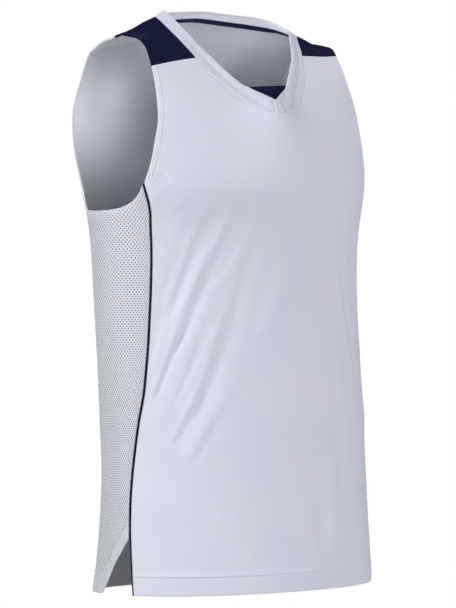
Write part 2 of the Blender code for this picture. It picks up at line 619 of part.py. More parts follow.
def neck_tape():
    """Narrow navy tape inside the back of the neck, over the band's seam and on to the yokes."""
    halves = {}
    for side in (-1, 1):
        places = neck_places(side)[FRONT_NECK_CELLS + SHOULDER_CELLS - TAPE_CELLS:]
        seam = neck_place(side, places)
        edge, normal = cloth(seam[:, 0], seam[:, 1])
        neck_side, _ = cloth(*neck_place(side, places, 1.0).T)
        halves[side] = edge, normal, neck_side
    edge, normal, neck_side = (np.vstack([right, left[::-1][1:]])
                               for right, left in zip(halves[-1], halves[1]))
    along = np.gradient(edge, axis=0)
    along /= np.linalg.norm(along, axis=-1, keepdims=True)
    upwards = neck_side - edge
    upwards -= along * np.sum(upwards * along, axis=-1, keepdims=True)
    upwards /= np.linalg.norm(upwards, axis=-1, keepdims=True)
    behind = edge - normal * (BAND_WALL + SEAM_GAP + TAPE_BEHIND)
    outer = np.stack([behind + upwards * TAPE_ABOVE, behind + upwards * (TAPE_ABOVE - TAPE_WIDTH)])
    closed_sheet("neck_tape", outer, outer - normal * THIN_WALL, NAVY)


def piping(side, name):
    """Navy cord in the front side seam, which goes on as a thin edge down the front of the slit."""
    shared, _ = seam_rows()
    rings = np.r_[HEM_ROWS, ABOVE_HEM, shared]
    grid = seam_place(FRONT_SEAM, side, rings)
    centre, normal = cloth(grid[:, 0], grid[:, 1])
    inwards, _ = cloth(grid[:, 0] - side * 1.0, grid[:, 1])
    tangent = np.gradient(centre, axis=0)
    tangent /= np.linalg.norm(tangent, axis=-1, keepdims=True)
    towards_front = inwards - centre
    towards_front -= tangent * np.sum(towards_front * tangent, axis=-1, keepdims=True)
    towards_front /= np.linalg.norm(towards_front, axis=-1, keepdims=True)
    half = np.where(rings < SLIT_TOP, PIPING_EDGE_HALF, PIPING_HALF)[:, None]
    middle = centre + towards_front * (PIPING_HALF - half)
    section = PIPING_SECTION[::side]
    outer = [middle - towards_front * half * s + normal * PIPING_CROWN * crown for s, crown, _ in section]
    inner = [middle - towards_front * half * s + normal * WALL * floor for s, _, floor in section]
    closed_sheet(name, np.stack(outer, 1), np.stack(inner, 1), NAVY)


clear_scene()
front_panel()
back_panel()
neck_tape()
side_panel(-1, "side_panel_right")
side_panel(1, "side_panel_left")
yoke(-1, "yoke_right")
yoke(1, "yoke_left")
neck_insert(collar_band())
piping(-1, "piping_right")
piping(1, "piping_left")
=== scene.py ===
# %% [markdown]
# # A sleeveless basketball jersey, dressed over its CAD solids
#
# The jersey is cut from eleven pieces: a front and a back, two mesh side panels, two navy shoulder
# yokes, a neck band with a small navy insert at its point, a tape inside the back of the neck, and
# two runs of piping. The imported CAD model is a rigid frame that says where each piece lies. Each
# piece is made again here as fine cloth over the same form, with its hems, creases and stitches.
#
# The first thing to do is to load that frame and to keep its size.

# %% Load the frame
import math
import bpy
import numpy as np
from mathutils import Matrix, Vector


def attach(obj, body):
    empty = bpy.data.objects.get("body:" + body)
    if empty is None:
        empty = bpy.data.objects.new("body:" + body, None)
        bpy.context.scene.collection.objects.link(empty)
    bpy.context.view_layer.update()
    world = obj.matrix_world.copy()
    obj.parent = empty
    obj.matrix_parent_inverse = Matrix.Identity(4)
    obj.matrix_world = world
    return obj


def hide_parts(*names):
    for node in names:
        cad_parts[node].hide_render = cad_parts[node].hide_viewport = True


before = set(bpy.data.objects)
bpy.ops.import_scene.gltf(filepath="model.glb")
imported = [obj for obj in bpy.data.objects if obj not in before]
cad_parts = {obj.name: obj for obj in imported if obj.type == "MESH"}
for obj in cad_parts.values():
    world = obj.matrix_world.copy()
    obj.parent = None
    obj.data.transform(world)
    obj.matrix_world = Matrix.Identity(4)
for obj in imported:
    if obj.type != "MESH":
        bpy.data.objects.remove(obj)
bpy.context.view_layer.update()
print("CAD nodes:", sorted(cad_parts))

# %% [markdown]
# ## The worn shape
#
# Cloth that hangs on shoulders has no simple outline, so its form could be sculpted, simulated or
# worked out from sections. Sections were chosen, because the CAD solids come from the same ones and
# the cloth then lies exactly where they do. Each row is a ring round the body at one height.
#
# A place on the cloth has two numbers. The first is a turn in degrees, 0 at the centre line and 90 at
# the wearer's left side. The second counts the rings from the front hem, over the shoulder ridge and
# down to the back hem.

# %% Sections of the worn shape, in centimetres
RING_COLUMNS = ("side", "half", "front", "back", "front_rise", "back_rise", "lean", "sway",
                "front_square", "back_square", "crest", "tilt", "curve")
RINGS = (
    (-73.2, 20.5, 12.5, 11.9, 0, -0.3, -1, 0.2, 2.15, 2.15, 0, 0, 2.5),
    (-70.8, 20.4, 12.2, 11.4, 0, -0.2, -1.1, 0.3, 2.15, 2.15, 0, 0, 2.5),
    (-65.8, 20.15, 11.6, 10.4, 0, 0, -1.2, 0.3, 2.15, 2.15, 0, 0, 2.5),
    (-58.8, 19.95, 11.1, 9.5, 0, 0, -1.1, 0.3, 2.15, 2.15, 0, 0, 2.5),
    (-50.8, 19.85, 10.8, 10.2, 0, 0, -0.9, 0.2, 2.15, 2.15, 0, 0, 2.5),
    (-42.8, 19.8, 10.4, 10.8, 0, 0, -0.6, 0.1, 2.15, 2.15, 0, 0, 2.5),
    (-34.8, 19.85, 9.8, 11.5, 0, 0, -0.3, 0, 2.15, 2.15, 0.2, 0, 2.5),
    (-27.8, 20, 10, 12.2, 0, 0, 0, 0, 2.25, 2.15, 0.5, 0, 2.5),
    (-21.8, 20.35, 10.9, 13.3, 0, 0, 0, 0, 2.4, 2.4, 1, 0, 2.5),
    (-16.3, 20.5, 9.9, 14.5, 0, 0.1, 0, 0, 2.65, 2.8, 1.7, 0, 2.5),
    (-12.3, 20.3, 8.7, 14.8, 0, 0.3, 0, 0, 3.05, 2.95, 2.1, 0, 2.5),
    (-10.1, 20, 7.8, 14.4, 0, 0.7, 0, 0, 3.3, 2.95, 1.75, 0.05, 2.5),
    (-7.9, 19.7, 6.3, 13.5, 0.1, 1.5, 0, 0, 4, 2.85, 1.8, 0.15, 2.5),
    (-5.7, 19.5, 4.75, 12, 0.5, 3.2, 0, 0, 5, 2.7, 1.1, 0.35, 2.5),
    (-4.6, 19.3, 3.8, 10.7, 0.85, 4, 0, 0, 5.5, 2.6, 0.5, 0.5, 2.5),
    (-3.65, 19.2, 2.5, 8.2, 1.9, 4.9, 0, 0, 5, 2.5, 0.2, 0.65, 2.5),
    (-3.25, 19.05, 1.15, 4.6, 4.1, 5.5, 0, 0, 4, 2.2, 0, 0.75, 2.3),
    (-3.05, 19, 0, 0, 5.9, 5.9, 0, 0, 3, 2, 0, 0.8, 1.5),
)
SHOULDER_LIFT = (
    (-19, -0.1, -0.35), (-17.3, -0.23, -0.65), (-15.6, -0.44, -1.1), (-13.9, -0.36, -1.4),
    (-12.2, -0.43, -1.5), (-10.5, -0.3, -1.25), (-7.5, -0.18, -0.85), (0, 0, -0.1), (12.6, -0.06, -0.1),
    (14.2, -0.2, -0.2), (15, 0, -0.1), (15.7, 0.17, 0), (17.3, 0.49, 0.3), (18.3, 0.24, 0.2), (19, 0, 0),
)
RIDGE = len(RINGS) - 1
CM = 0.01
MM = 0.001
print(RIDGE + 1, "rings from the hem to the shoulder ridge")

# %% Curves through the rows of a table
CURVE_SAMPLES = 1601


def spline(rows, places):
    """Catmull-Rom curve through the rows. places counts rows from 0, and fractions lie between."""
    table = np.array(rows, float)
    last = len(table) - 1
    table = np.vstack([2 * table[0] - table[1], table, 2 * table[-1] - table[-2]])
    places = np.clip(np.asarray(places, float), 0, last)
    index = np.clip(np.floor(places).astype(int), 0, last - 1)
    step = (places - index)[..., None]
    a, b, c, d = (table[index + k] for k in range(4))
    return 0.5 * (2 * b + (c - a) * step + (2 * a - 5 * b + 4 * c - d) * step ** 2
                  + (3 * b - a - 3 * c + d) * step ** 3)


def place_of(rows, column, value):
    """The place along the rows where a column has this value. The column rises or falls throughout."""
    places = np.linspace(0, len(rows) - 1, CURVE_SAMPLES)
    values = spline(rows, places)[:, column]
    way = np.sign(values[-1] - values[0])
    return np.interp(way * value, way * values, places)


def ring_values(ring):
    """Every column of RINGS at these ring numbers. The depths turn over at the shoulder ridge."""
    over = np.array(RINGS[-2], float)
    over[2:4] *= -1
    values = spline(np.vstack([np.array(RINGS, float), over]), ring)
    return {name: values[..., k] for k, name in enumerate(RING_COLUMNS)}


print("half width at the chest:", round(float(ring_values(9.0)["half"]), 2), "cm")

# %% The smooth form of the worn cloth
FRONT_CURVE = 1.5
# The chest stands out in a crest: its half width, and what each ring below CREST_RING adds to it.
CREST_WIDTH = 3.2
CREST_SPREAD = 2.3
CREST_RING = 10.6
TILT_GAIN = 3.5
# The ring where the shoulder lift sets in, and how many rings it takes to do so.
LIFT_FROM = {"front": 14.4, "back": 13.2}
LIFT_RINGS = 1.8
# Steps to the neighbours that a normal is worked out from.
NEAR_TURN = 0.2
NEAR_RING = 0.02


def ease(distance, start, stop):
    """0 before start and 1 after stop, with a soft step between."""
    t = np.clip((distance - start) / (stop - start), 0, 1)
    return t * t * (3 - 2 * t)


def body_turn(across, up):
    """Turn round the body in degrees. Beyond the ridge, across counts from the back's centre line."""
    return np.where(up > RIDGE, np.where(across < 0, -180, 180) - across, across)


def body_point(across, up):
    """Point of the worn shape without folds, in metres."""
    ring = np.where(up > RIDGE, 2 * RIDGE - up, up)
    turn = np.radians(body_turn(across, up))
    v = ring_values(ring)
    sine = np.sin(turn)
    cosine = np.cos(turn)
    reach = np.minimum(np.abs(sine), 1.0)
    front = cosine > 0
    square = np.where(front, v["front_square"], v["back_square"])
    depth = np.maximum(1 - reach ** square, 0) ** (1 / square)
    width = CREST_WIDTH + CREST_SPREAD * np.maximum(CREST_RING - ring, 0)
    crest = v["crest"] / (1 + (v["half"] * sine / width) ** 2) ** 1.5
    rise = np.where(front, v["front_rise"] * (1 - reach ** FRONT_CURVE),
                    v["back_rise"] * (1 - reach ** v["curve"]))
    ahead = np.where(front, 1.0, np.clip(ring - RIDGE + 1, 0, 1))
    tilt = v["tilt"] * TILT_GAIN * ahead * sine * cosine ** 4
    x = v["half"] * sine + v["sway"]
    places, ridge_lifts, behind_lifts = np.array(SHOULDER_LIFT).T
    lift = ahead * np.interp(x, places, ridge_lifts) + (1 - ahead) * np.interp(x, places, behind_lifts)
    start = np.where(front, LIFT_FROM["front"], LIFT_FROM["back"])
    y = v["lean"] + np.where(front, -v["front"] * depth - crest, v["back"] * depth)
    z = v["side"] + rise - tilt + lift * ease(ring, start, start + LIFT_RINGS)
    return np.stack([x, y, z], -1) * CM


def unit(vectors):
    return vectors / np.maximum(np.linalg.norm(vectors, axis=-1, keepdims=True), 1e-12)


def outward(across, up):
    """Unit normal of the worn shape, pointing away from the wearer."""
    along = body_point(across + NEAR_TURN, up) - body_point(across - NEAR_TURN, up)
    rising = body_point(across, up + NEAR_RING) - body_point(across, up - NEAR_RING)
    return unit(np.cross(along, rising))


print("centre front at the chest:", np.round(body_point(np.array(0.0), np.array(9.0)), 3))

# %% [markdown]
# ## Folds and creases
#
# The light knit hangs from the shoulders and is a little wide for the figure. It gathers under the
# front of each arm and runs down and outwards in long soft folds. They could come from a cloth
# simulation, but the folds of this jersey are few and each has its place, so each one is a row of a
# table. The first table is the one that the solids follow, and the second adds the finer creases that
# only cloth shows. Turns are in degrees, and heights, widths and depths in centimetres.

# %% Fold tables
# Centimetres of cloth in a degree of turn.
DEGREE = 0.30
# Each fold: turn and height where it starts and where it ends, its width and its depth.
FOLDS = (
    (-34, -25.5, -61, -43.7, 1.9, -0.45), (-21, -24.7, -42, -37.7, 2, -0.45),
    (-42, -37.7, -64, -49.5, 1.7, -0.55), (-15, -28.6, -26, -39, 2.2, -0.35),
    (-26, -39, -49, -53.5, 2.3, -0.55), (-22, -32.5, -43, -43.5, 2.2, 0.35),
    (-50, -19, -58, -22.5, 1.3, -0.2), (-47, -24, -57, -26.5, 1.5, -0.2), (-1, -32, -9, -40, 2.6, 0.25),
    (26, -44.5, 40, -58, 2.4, 0.3), (15, -62, 19, -69, 2.2, -0.25), (79, -46, 64, -52, 1.8, 0.3),
    (-50, -60, -44, -71, 2.6, 0.25), (58, -20.5, 49, -29, 1.8, -0.25), (-88, -40, -94, -62, 2.4, -0.3),
    (90, -38, 97, -60, 2.4, -0.3), (150, -30, 128, -50, 2.6, -0.5), (163, -36, 142, -58, 2.8, -0.4),
    (-153, -29, -130, -48, 2.6, -0.45), (-166, -38, -146, -60, 2.8, -0.4), (178, -16, 176, -34, 3, -0.35),
    (135, -58, 140, -71, 2.6, 0.3), (-138, -58, -141, -71, 2.6, 0.3),
)
# How much of the folds' depth the cloth takes, and how their ends fade.
BROAD_SHARE = 0.35
FOLD_HALF = 0.35
FOLD_END = 0.045
# The creases' fading ends and their change of width, at the top and at the low end.
CREASE_FADE = (0.42, 0.14)
CREASE_WIDTH = (1.25, 0.62)
# Each crease: its turn at the top, middle and low end, its height there, its width and its depth.
CREASES = (
    (-18.5, -24.5, -31.5, -22.9, -28.5, -33, 0.52, 0.08),
    (-26.5, -38.5, -50, -27.6, -36.6, -43.2, 0.72, 0.2), (-40, -51.9, -61.5, -37, -44, -49.4, 0.52, 0.2),
    (-28, -37.5, -51, -22.6, -29.4, -38.6, 0.58, 0.09),
    (-41, -46, -51.5, -24.1, -25.3, -26.5, 0.45, 0.03),
    (-46.5, -51.5, -55.5, -19, -19.9, -21.3, 0.34, 0.035),
    (-47, -51, -54.5, -32.2, -34.2, -36.7, 0.33, 0.025),
    (-11.5, -16.5, -24, -27.5, -33, -39.3, 0.72, 0.08),
    (-18.5, -30.5, -44, -34.6, -43.8, -51.5, 0.78, 0.2), (-36, -43, -52, -47, -50.8, -54.7, 0.58, 0.1),
    (-28, -34.5, -43.5, -48.9, -52.7, -56.9, 0.65, 0.05), (-36.5, -46, -57, -41.5, -47, -51.4, 0.4, 0.03),
    (-36, -47.5, -61, -34.2, -39.9, -47.3, 0.2, 0.035),
    (-21.5, -32, -51.5, -22.2, -29.9, -40.3, 0.65, -0.08),
    (-43, -53.5, -60.5, -35.1, -39.9, -45.4, 0.72, -0.1),
    (-11.5, -16.5, -28.5, -23, -28.6, -34.8, 0.75, -0.07),
    (-27.5, -36.5, -47.5, -37.6, -43.1, -49.2, 0.52, -0.07),
    (-23.5, -36, -49.5, -44.7, -51.1, -56.6, 0.78, -0.09),
    (0.5, -3.5, -11, -30.5, -35.1, -40.9, 1.2, -0.08), (26.5, 30, 34, -40.5, -48.5, -58.2, 0.8, -0.06),
    (19.5, 19.5, 17.5, -54, -61.8, -69.1, 0.9, -0.1), (14, 12.5, 12, -62.4, -65.6, -68.9, 0.7, 0.06),
    (23.5, 26, 28, -52.4, -59.4, -64, 0.9, 0.08), (12, 10.5, 9, -41.8, -46.3, -51.4, 0.5, 0.03),
    (-27.5, -29.5, -31.5, -61.2, -63.2, -65.3, 0.55, 0.025),
    (34.5, 40, 48.5, -28.1, -37.3, -48.9, 0.6, 0.09),
    (-51.5, -55.5, -59.5, -19.7, -20.9, -22.2, 0.22, 0.02),
    (-44, -50, -56, -20.9, -22.2, -24.3, 0.45, 0.03), (-39, -48, -56.5, -23.9, -25, -27, 0.33, 0.025),
    (-52.5, -54.5, -55, -27.5, -29.4, -31, 0.4, 0.02), (52, 56, 61, -19.4, -20.8, -22, 0.25, -0.02),
    (46, 53, 61, -22.4, -24, -26.6, 0.4, -0.04), (40, 52, 65, -26, -31, -37, 0.6, -0.06),
    (52, 60, 66, -43, -48, -56, 0.6, -0.06), (152, 141, 127, -29, -39, -50, 0.7, 0.14),
    (158, 149, 132, -31, -42, -54, 0.6, -0.07), (165, 155, 141, -37, -47, -59, 0.75, 0.1),
    (134, 127, 121, -23, -27, -33, 0.4, 0.04), (-155, -143, -129, -27, -38, -49, 0.7, -0.13),
    (-161, -151, -134, -30, -41, -53, 0.6, 0.07), (-167, -158, -146, -38, -48, -61, 0.75, -0.1),
    (-136, -130, -124, -22, -26.5, -31, 0.4, -0.04), (179, 177, 176, -15, -24, -35, 1, 0.06),
    (149, 146, 147, -56, -63, -70, 0.8, 0.07), (-139, -141, -140, -55, -62, -69, 0.8, -0.08),
)


def fold_height(turn, height):
    """How far the broad folds move the cloth out, in centimetres."""
    total = np.zeros_like(turn)
    for turn_a, height_a, turn_b, height_b, width, depth in FOLDS:
        run = np.array([(turn_b - turn_a) * DEGREE, height_b - height_a])
        length = np.hypot(*run)
        offset_x = (turn - turn_a) * DEGREE
        offset_y = height - height_a
        along = (offset_x * run[0] + offset_y * run[1]) / length ** 2
        aside = (offset_x * run[1] - offset_y * run[0]) / length
        taper = np.exp(-np.maximum(np.abs(along - 0.5) - FOLD_HALF, 0) ** 2 / FOLD_END)
        total += depth * taper * np.exp(-(aside / width) ** 2)
    return total * BROAD_SHARE


def crease_height(turn, height):
    """Curved creases. Each stands up on one side of its line and dips on the other, and it starts
    wide and faint and ends narrow and sharp."""
    total = np.zeros_like(turn)
    for turn_a, turn_m, turn_b, top, middle, low, width, lap in CREASES:
        down = (top - height) / (top - low)
        halfway = (top - middle) / (top - low)
        bow = (turn_m - turn_a - halfway * (turn_b - turn_a)) / (halfway * (halfway - 1))
        line = turn_a + (turn_b - turn_a) * down + bow * down * (down - 1)
        slope = (turn_b - turn_a + bow * (2 * down - 1)) * DEGREE / (top - low)
        taper = CREASE_WIDTH[0] + (CREASE_WIDTH[1] - CREASE_WIDTH[0]) * np.clip(down, 0, 1)
        aside = (turn - line) * DEGREE / np.sqrt(1 + slope ** 2) / (width * taper)
        ends = ease(down, 0, CREASE_FADE[0]) * (1 - ease(down, 1 - CREASE_FADE[1], 1))
        total -= lap * ends * aside * np.exp((1 - aside ** 2) / 2)
    return total


def cloth(grid):
    """Folded outer surface at these places, each an (across, up), and its normals."""
    across, up = grid[..., 0], grid[..., 1]
    base = body_point(across, up)
    normal = outward(across, up)
    turn = body_turn(across, up)
    height = base[..., 2] / CM
    out = (fold_height(turn, height) + crease_height(turn, height)) * CM
    return base + normal * out[..., None], normal


print(len(FOLDS), "broad folds and", len(CREASES), "finer creases")

# %% [markdown]
# ## Where the pieces meet
#
# A pattern cutter draws each piece by its edges. The edges here are short tables in the same cloth
# coordinates, each row with the turn on the wearer's right, the turn on the left and the ring. Two
# pieces that meet read the same row, so no gap can open between them. The armhole, the side seams and
# the slits come first.

# %% Edges of the panels
ARMHOLE = (
    (63.2, 70, 7.98), (61.6, 67.5, 8.16), (58.5, 62.5, 8.55), (56, 58, 9.05), (54.5, 55.4, 9.5),
    (54.3, 54.6, 10), (54.7, 54.7, 10.9), (55, 55.3, 11.7), (55.1, 55.7, 12.4), (55.4, 56.7, 13.3),
    (55.8, 58.1, 14.1), (57, 60.8, 14.9), (58.6, 63.2, 15.4), (61, 65.3, 15.85), (64, 67.2, 16.3),
    (66.1, 68.2, 16.8), (66.9, 69, 17.4), (66.6, 67.5, 18), (65.2, 65, 19), (62, 62.8, 20.4),
    (61.5, 61.7, 22), (61.2, 61.2, 23.5), (61.3, 61.3, 24.8), (63, 63, 25.55), (66.2, 66.2, 26.02),
)
UNDER_ARM = (
    (63.2, 70, 7.98), (66, 72, 7.77), (70.1, 75, 7.6), (76.3, 79.5, 7.5), (85.2, 86.5, 7.46),
    (94.1, 94.4, 7.46), (102.5, 102.5, 7.48), (109.6, 109.6, 7.55), (113.8, 113.8, 7.98),
)
FRONT_SEAM = (
    (71.6, 73.4, 0), (73.1, 74.6, 1), (74.8, 76, 1.95), (74.8, 76, 2.56), (73.5, 75.6, 3.05),
    (71.3, 75.8, 3.48), (68.6, 75.4, 3.91), (65.1, 75, 4.37), (62.5, 74.6, 4.89), (60.5, 74, 5.34),
    (58.6, 73.2, 5.84), (57.8, 72.8, 6.24), (57.6, 72.4, 6.68), (58.3, 71.8, 7.14), (59.3, 71, 7.48),
    (63.2, 70, 7.98),
)
BACK_SEAM = (
    (109.5, 109.5, 0), (110.2, 110.2, 1), (111, 111, 1.95), (113, 113, 3.05), (115.5, 115.5, 3.91),
    (118.5, 118.5, 4.89), (120.5, 120.5, 5.84), (121, 121, 6.68), (119.3, 119.3, 7.3),
    (113.8, 113.8, 7.98),
)
SLIT = (
    (109.5, 109.5, 0), (101, 101.5, 0), (93.8, 94.8, 0.02), (90.6, 91.8, 0.45), (88.4, 89.6, 0.9),
    (84.2, 85.6, 1.36), (79.8, 81.6, 1.66), (76.6, 78.4, 1.84), (74, 76, 1.95),
)
# Each row: turn and ring of the band's seam, turn and ring of its open edge, how far both shift on
# the right and on the left, and how far the open edge stands off there, in centimetres.
NECKLINE = (
    (0, 9.96, 0, 10.78, 0, 0, 0.05, 0.05), (6, 10.1, 4.4, 11.15, 0.1, 0, 0.08, 0.08),
    (13.8, 10.64, 9.8, 11.6, 0.3, 0.4, 0.1, 0.1), (18.9, 11.4, 14.2, 12.2, 0.6, 0.2, 0.12, 0.1),
    (24.4, 12.28, 18.8, 12.8, 0.5, -0.3, 0.16, 0.12), (27.9, 13.05, 22.4, 13.5, 0.6, -0.9, 0.22, 0.14),
    (30.4, 13.95, 25.8, 14.55, 1, -0.8, 0.3, 0.14), (33.4, 15, 28.6, 15.45, 1.2, -0.6, 0.34, 0.15),
    (35.9, 16, 31, 16.2, 0.9, -0.8, 0.34, 0.17), (38.2, 16.85, 32.8, 16.85, 0.6, -1.2, 0.26, 0.25),
    (38.6, 17.5, 32.3, 17.4, -1.4, -0.2, 0.2, 0.5), (35.2, 17.93, 28.9, 17.72, -1.2, 0.6, 0.4, 0.55),
    (28.6, 18.28, 22.6, 17.98, 0.3, 0.4, 0.55, 0.46), (16, 18.6, 12, 18.17, 0.2, 0.1, 0.42, 0.32),
    (0, 18.66, 0, 18.17, 0, 0, 0.28, 0.28),
)
# Rings of each yoke's front seam at the armhole and at the neck, and of its back seam.
YOKE_SEAMS = {-1: (12.39, 12.84, 17.60), 1: (15.08, 14.60, 17.75)}
SLIT_TOP = 1.95
ARM_CORNER = 7.98
# The wearer's right and left.
SIDES = (-1, 1)


def edge_place(rows, side, place):
    """Cloth place on an edge, counted along its rows."""
    values = spline(rows, place)
    return np.stack([side * values[..., 0 if side < 0 else 1], values[..., 2]], -1)


def ring_place(rows, side, ring):
    """Cloth place on an edge at a ring number."""
    return edge_place(rows, side, place_of(rows, 2, ring))


print("the right armhole starts at", np.round(ring_place(ARMHOLE, -1, ARM_CORNER), 2))

# %% The neckline and the yokes' seams
# Centimetres of cloth in a ring, roughly.
RING_HEIGHT = 3


def neck_place(side, place, fraction=0.0):
    """Cloth place on the neck band: fraction 0 is its seam and 1 its open edge."""
    values = spline(NECKLINE, place)
    across = values[..., 0] + fraction * (values[..., 2] - values[..., 0])
    across = side * (across + values[..., 4 if side < 0 else 5])
    return np.stack([across, values[..., 1] + fraction * (values[..., 3] - values[..., 1])], -1)


def neck_stops(side):
    """Places along NECKLINE of the yoke's front seam and back seam."""
    return place_of(NECKLINE, 1, np.array(YOKE_SEAMS[side][1:]))


def yoke_seam(side, steps, back=False):
    """Seam between a yoke and the front or back, from the armhole to the neck."""
    start = ring_place(ARMHOLE, side, YOKE_SEAMS[side][2 if back else 0])
    end = neck_place(side, neck_stops(side)[int(back)])
    return start + steps[:, None] * (end - start)


def patch(bottom, top, left, right):
    """Grid of cloth places between four edges. Each edge is an array of (across, up)."""
    lengths = np.cumsum(np.r_[0, np.linalg.norm(np.diff(left * [DEGREE, RING_HEIGHT], axis=0), axis=1)])
    t = (lengths / lengths[-1])[:, None, None]
    lengths = np.cumsum(np.r_[0, np.abs(np.diff(bottom[:, 0]))])
    s = (lengths / lengths[-1])[None, :, None]
    ruled = (1 - t) * bottom[None] + t * top[None] + (1 - s) * left[:, None] + s * right[:, None]
    corners = ((1 - s) * (1 - t) * bottom[0] + s * (1 - t) * bottom[-1]
               + (1 - s) * t * top[0] + s * t * top[-1])
    return ruled - corners


def joined(right, left):
    """One half's rows, then the other's in reverse, without the middle row that both have."""
    return np.concatenate([right, left[::-1][1:]])


print("yoke seams meet the neckline at rows", np.round(neck_stops(-1), 2), np.round(neck_stops(1), 2))

# %% [markdown]
# ## How a flat grid becomes a sewn panel
#
# A panel could be one surface without thickness, but its hems and open edges would then look like
# paper. It is made in three steps instead. A grid is added and its points are set on the cloth.
# Solidify closes it with an inner side and a rim. Last, the inner side is set too, so that hems are
# thick, seams dip and the cut edges are round.
#
# The distance of every point from the four borders drives all of that, and it is also what the
# stitches in the materials follow.

# %% Distances from the borders of a panel
WALL = 1.6 * MM
BAND_WALL = 2.2 * MM
THIN_WALL = 1.1 * MM
SEAM_GAP = 0.3 * MM
NECK_GAP = 0.08 * MM
PIPING_HALF = 1.05 * MM
PULL_REACH = 12 * MM


def run_lengths(points, axis):
    """Length along the rows or columns of a grid of points, from its first one."""
    steps = np.linalg.norm(np.diff(points, axis=axis), axis=-1)
    return np.concatenate([np.zeros_like(np.take(steps, [0], axis)), np.cumsum(steps, axis)], axis)


def borders(points):
    """Distance of each point from the left, right, bottom and top border, in metres."""
    across = run_lengths(points, 1)
    rising = run_lengths(points, 0)
    return {"left": across, "right": across[:, -1:] - across,
            "bottom": rising, "top": rising[-1:] - rising}


def square_to(line, vectors):
    """What of these vectors stands square to a line of points, at unit length."""
    tangent = unit(np.gradient(line, axis=0))
    return unit(vectors - tangent * np.sum(vectors * tangent, -1, keepdims=True))


def pull_in(points, **amounts):
    """Draw a grid of points back from its borders, by these amounts in metres."""
    points = points.copy()
    for name, amount in amounts.items():
        far = borders(points)[name]
        turned = {"left": points, "right": points[:, ::-1],
                  "bottom": points.swapaxes(0, 1), "top": points[::-1].swapaxes(0, 1)}[name]
        inwards = square_to(turned[:, 0], turned[:, 3] - turned[:, 0])
        shift = inwards[:, None] if name in ("left", "right") else inwards[None]
        amount = np.atleast_2d(amount).T
        points += shift * (amount * np.maximum(1 - far / PULL_REACH, 0))[..., None]
    return points


def bell(distance, width):
    return np.exp(-(distance / width) ** 2)


print("a bell of 2 mm is down to", round(float(bell(2 * MM, 2 * MM)), 2), "at 2 mm")

# %% [markdown]
# The turned hems are 24 mm deep at the bottom and 10 mm at the armholes. Their stitch line pulls the
# cloth into a shallow groove, with a soft roll on either side. A sewn seam dips, and the allowance
# under it lifts the cloth a little for 7 mm.

# %% Relief of hems and seams
# Each hem: how deep it is, the roll above its stitches, and how far its doubled cloth is raised.
HEM = (24 * MM, 0.9 * MM, 0.5 * MM)
ARM_HEM = (10 * MM, 0.25 * MM, 0.45 * MM)
STITCH_IN = 1.4 * MM
# Where these start and end, counted from the stitch line.
ROLL_RISES = (-0.1 * MM, 0.9 * MM)
ROLL_FADES = (0.8 * MM, 7 * MM)
DOUBLED_ENDS = (-1.8 * MM, -0.3 * MM)
INSIDE_ENDS = (0.2 * MM, 1.6 * MM)
# Depth and half width of the groove, the rounded edge, a seam's dip and the rolls beside it.
GROOVE, GROOVE_HALF = 0.35 * MM, 0.8 * MM
EDGE_DROP, EDGE_ROUND = 0.9 * MM, 0.9 * MM
SEAM_DIP, SEAM_HALF = 0.8 * MM, 0.7 * MM
SEAM_ROLL, SEAM_ROLL_HALF = 0.3 * MM, 1.0 * MM
SEAM_ROLL_AWAY = 1.7 * MM
NECK_DIP = 0.2 * MM
# Extra cloth inside a hem, less at its edge, and over a seam's allowance outside and inside.
HEM_INSIDE, EDGE_INSIDE = 0.5 * MM, 0.45 * MM
OUTSIDE_LIFT, OUTSIDE_ENDS = 0.15 * MM, (5.5 * MM, 7.5 * MM)
ALLOWANCE, ALLOWANCE_ENDS = 0.4 * MM, (6.5 * MM, 7.0 * MM)
# Each ripple: radians in a metre of hem, where it starts, and its share.
RIPPLES = ((560, 0, 1), (873, 1.3, 0.8), (391, 0.4, 0.7))
RIPPLE_HEIGHT = 0.10 * MM
RIPPLE_RISES = (2 * MM, 8 * MM)
RIPPLE_FADES = (15 * MM, 21 * MM)


def past_stitches(far, hem):
    """Distance beyond a hem's stitch line, for points this far from its open edge."""
    return far - (hem[0] - STITCH_IN)


def hem_relief(far, hem):
    """Height of a turned hem on the outside, and its extra thickness inside."""
    above = past_stitches(far, hem)
    rounded = bell(far, EDGE_ROUND)
    outside = (hem[1] * (1 - ease(above, *ROLL_FADES)) * ease(above, *ROLL_RISES)
               - GROOVE * bell(above, GROOVE_HALF) + hem[2] * (1 - ease(above, *DOUBLED_ENDS))
               - EDGE_DROP * rounded)
    return outside, HEM_INSIDE * (1 - ease(above, *INSIDE_ENDS)) - EDGE_INSIDE * rounded


def seam_relief(far, dip=SEAM_DIP):
    """A sewn seam dips between two small rolls, over an allowance of 7 mm."""
    outside = (OUTSIDE_LIFT * (1 - ease(far, *OUTSIDE_ENDS))
               + SEAM_ROLL * bell(far - SEAM_ROLL_AWAY, SEAM_ROLL_HALF) - dip * bell(far, SEAM_HALF))
    return outside, ALLOWANCE * (1 - ease(far, *ALLOWANCE_ENDS))


def hem_ripple(along, far):
    """Small uneven upright ripples that the stitching leaves in the turned hem."""
    waves = sum(share * np.sin(along * rate + start) for rate, start, share in RIPPLES)
    return RIPPLE_HEIGHT * waves * ease(far, *RIPPLE_RISES) * (1 - ease(far, *RIPPLE_FADES))


print("the hem's groove:", round(float(hem_relief(HEM[0] - STITCH_IN, HEM)[0] / MM), 2), "mm")

# %% Make a closed panel from two sides
SMOOTH_ANGLE = math.radians(50)
MERGE_WITHIN = 1e-5
THIN_EDGE = 0.4 * MM


def mark_points(mesh, label, values, kind="FLOAT", field="value"):
    mesh.attributes.new(label, kind, "POINT").data.foreach_set(field, values.reshape(-1))


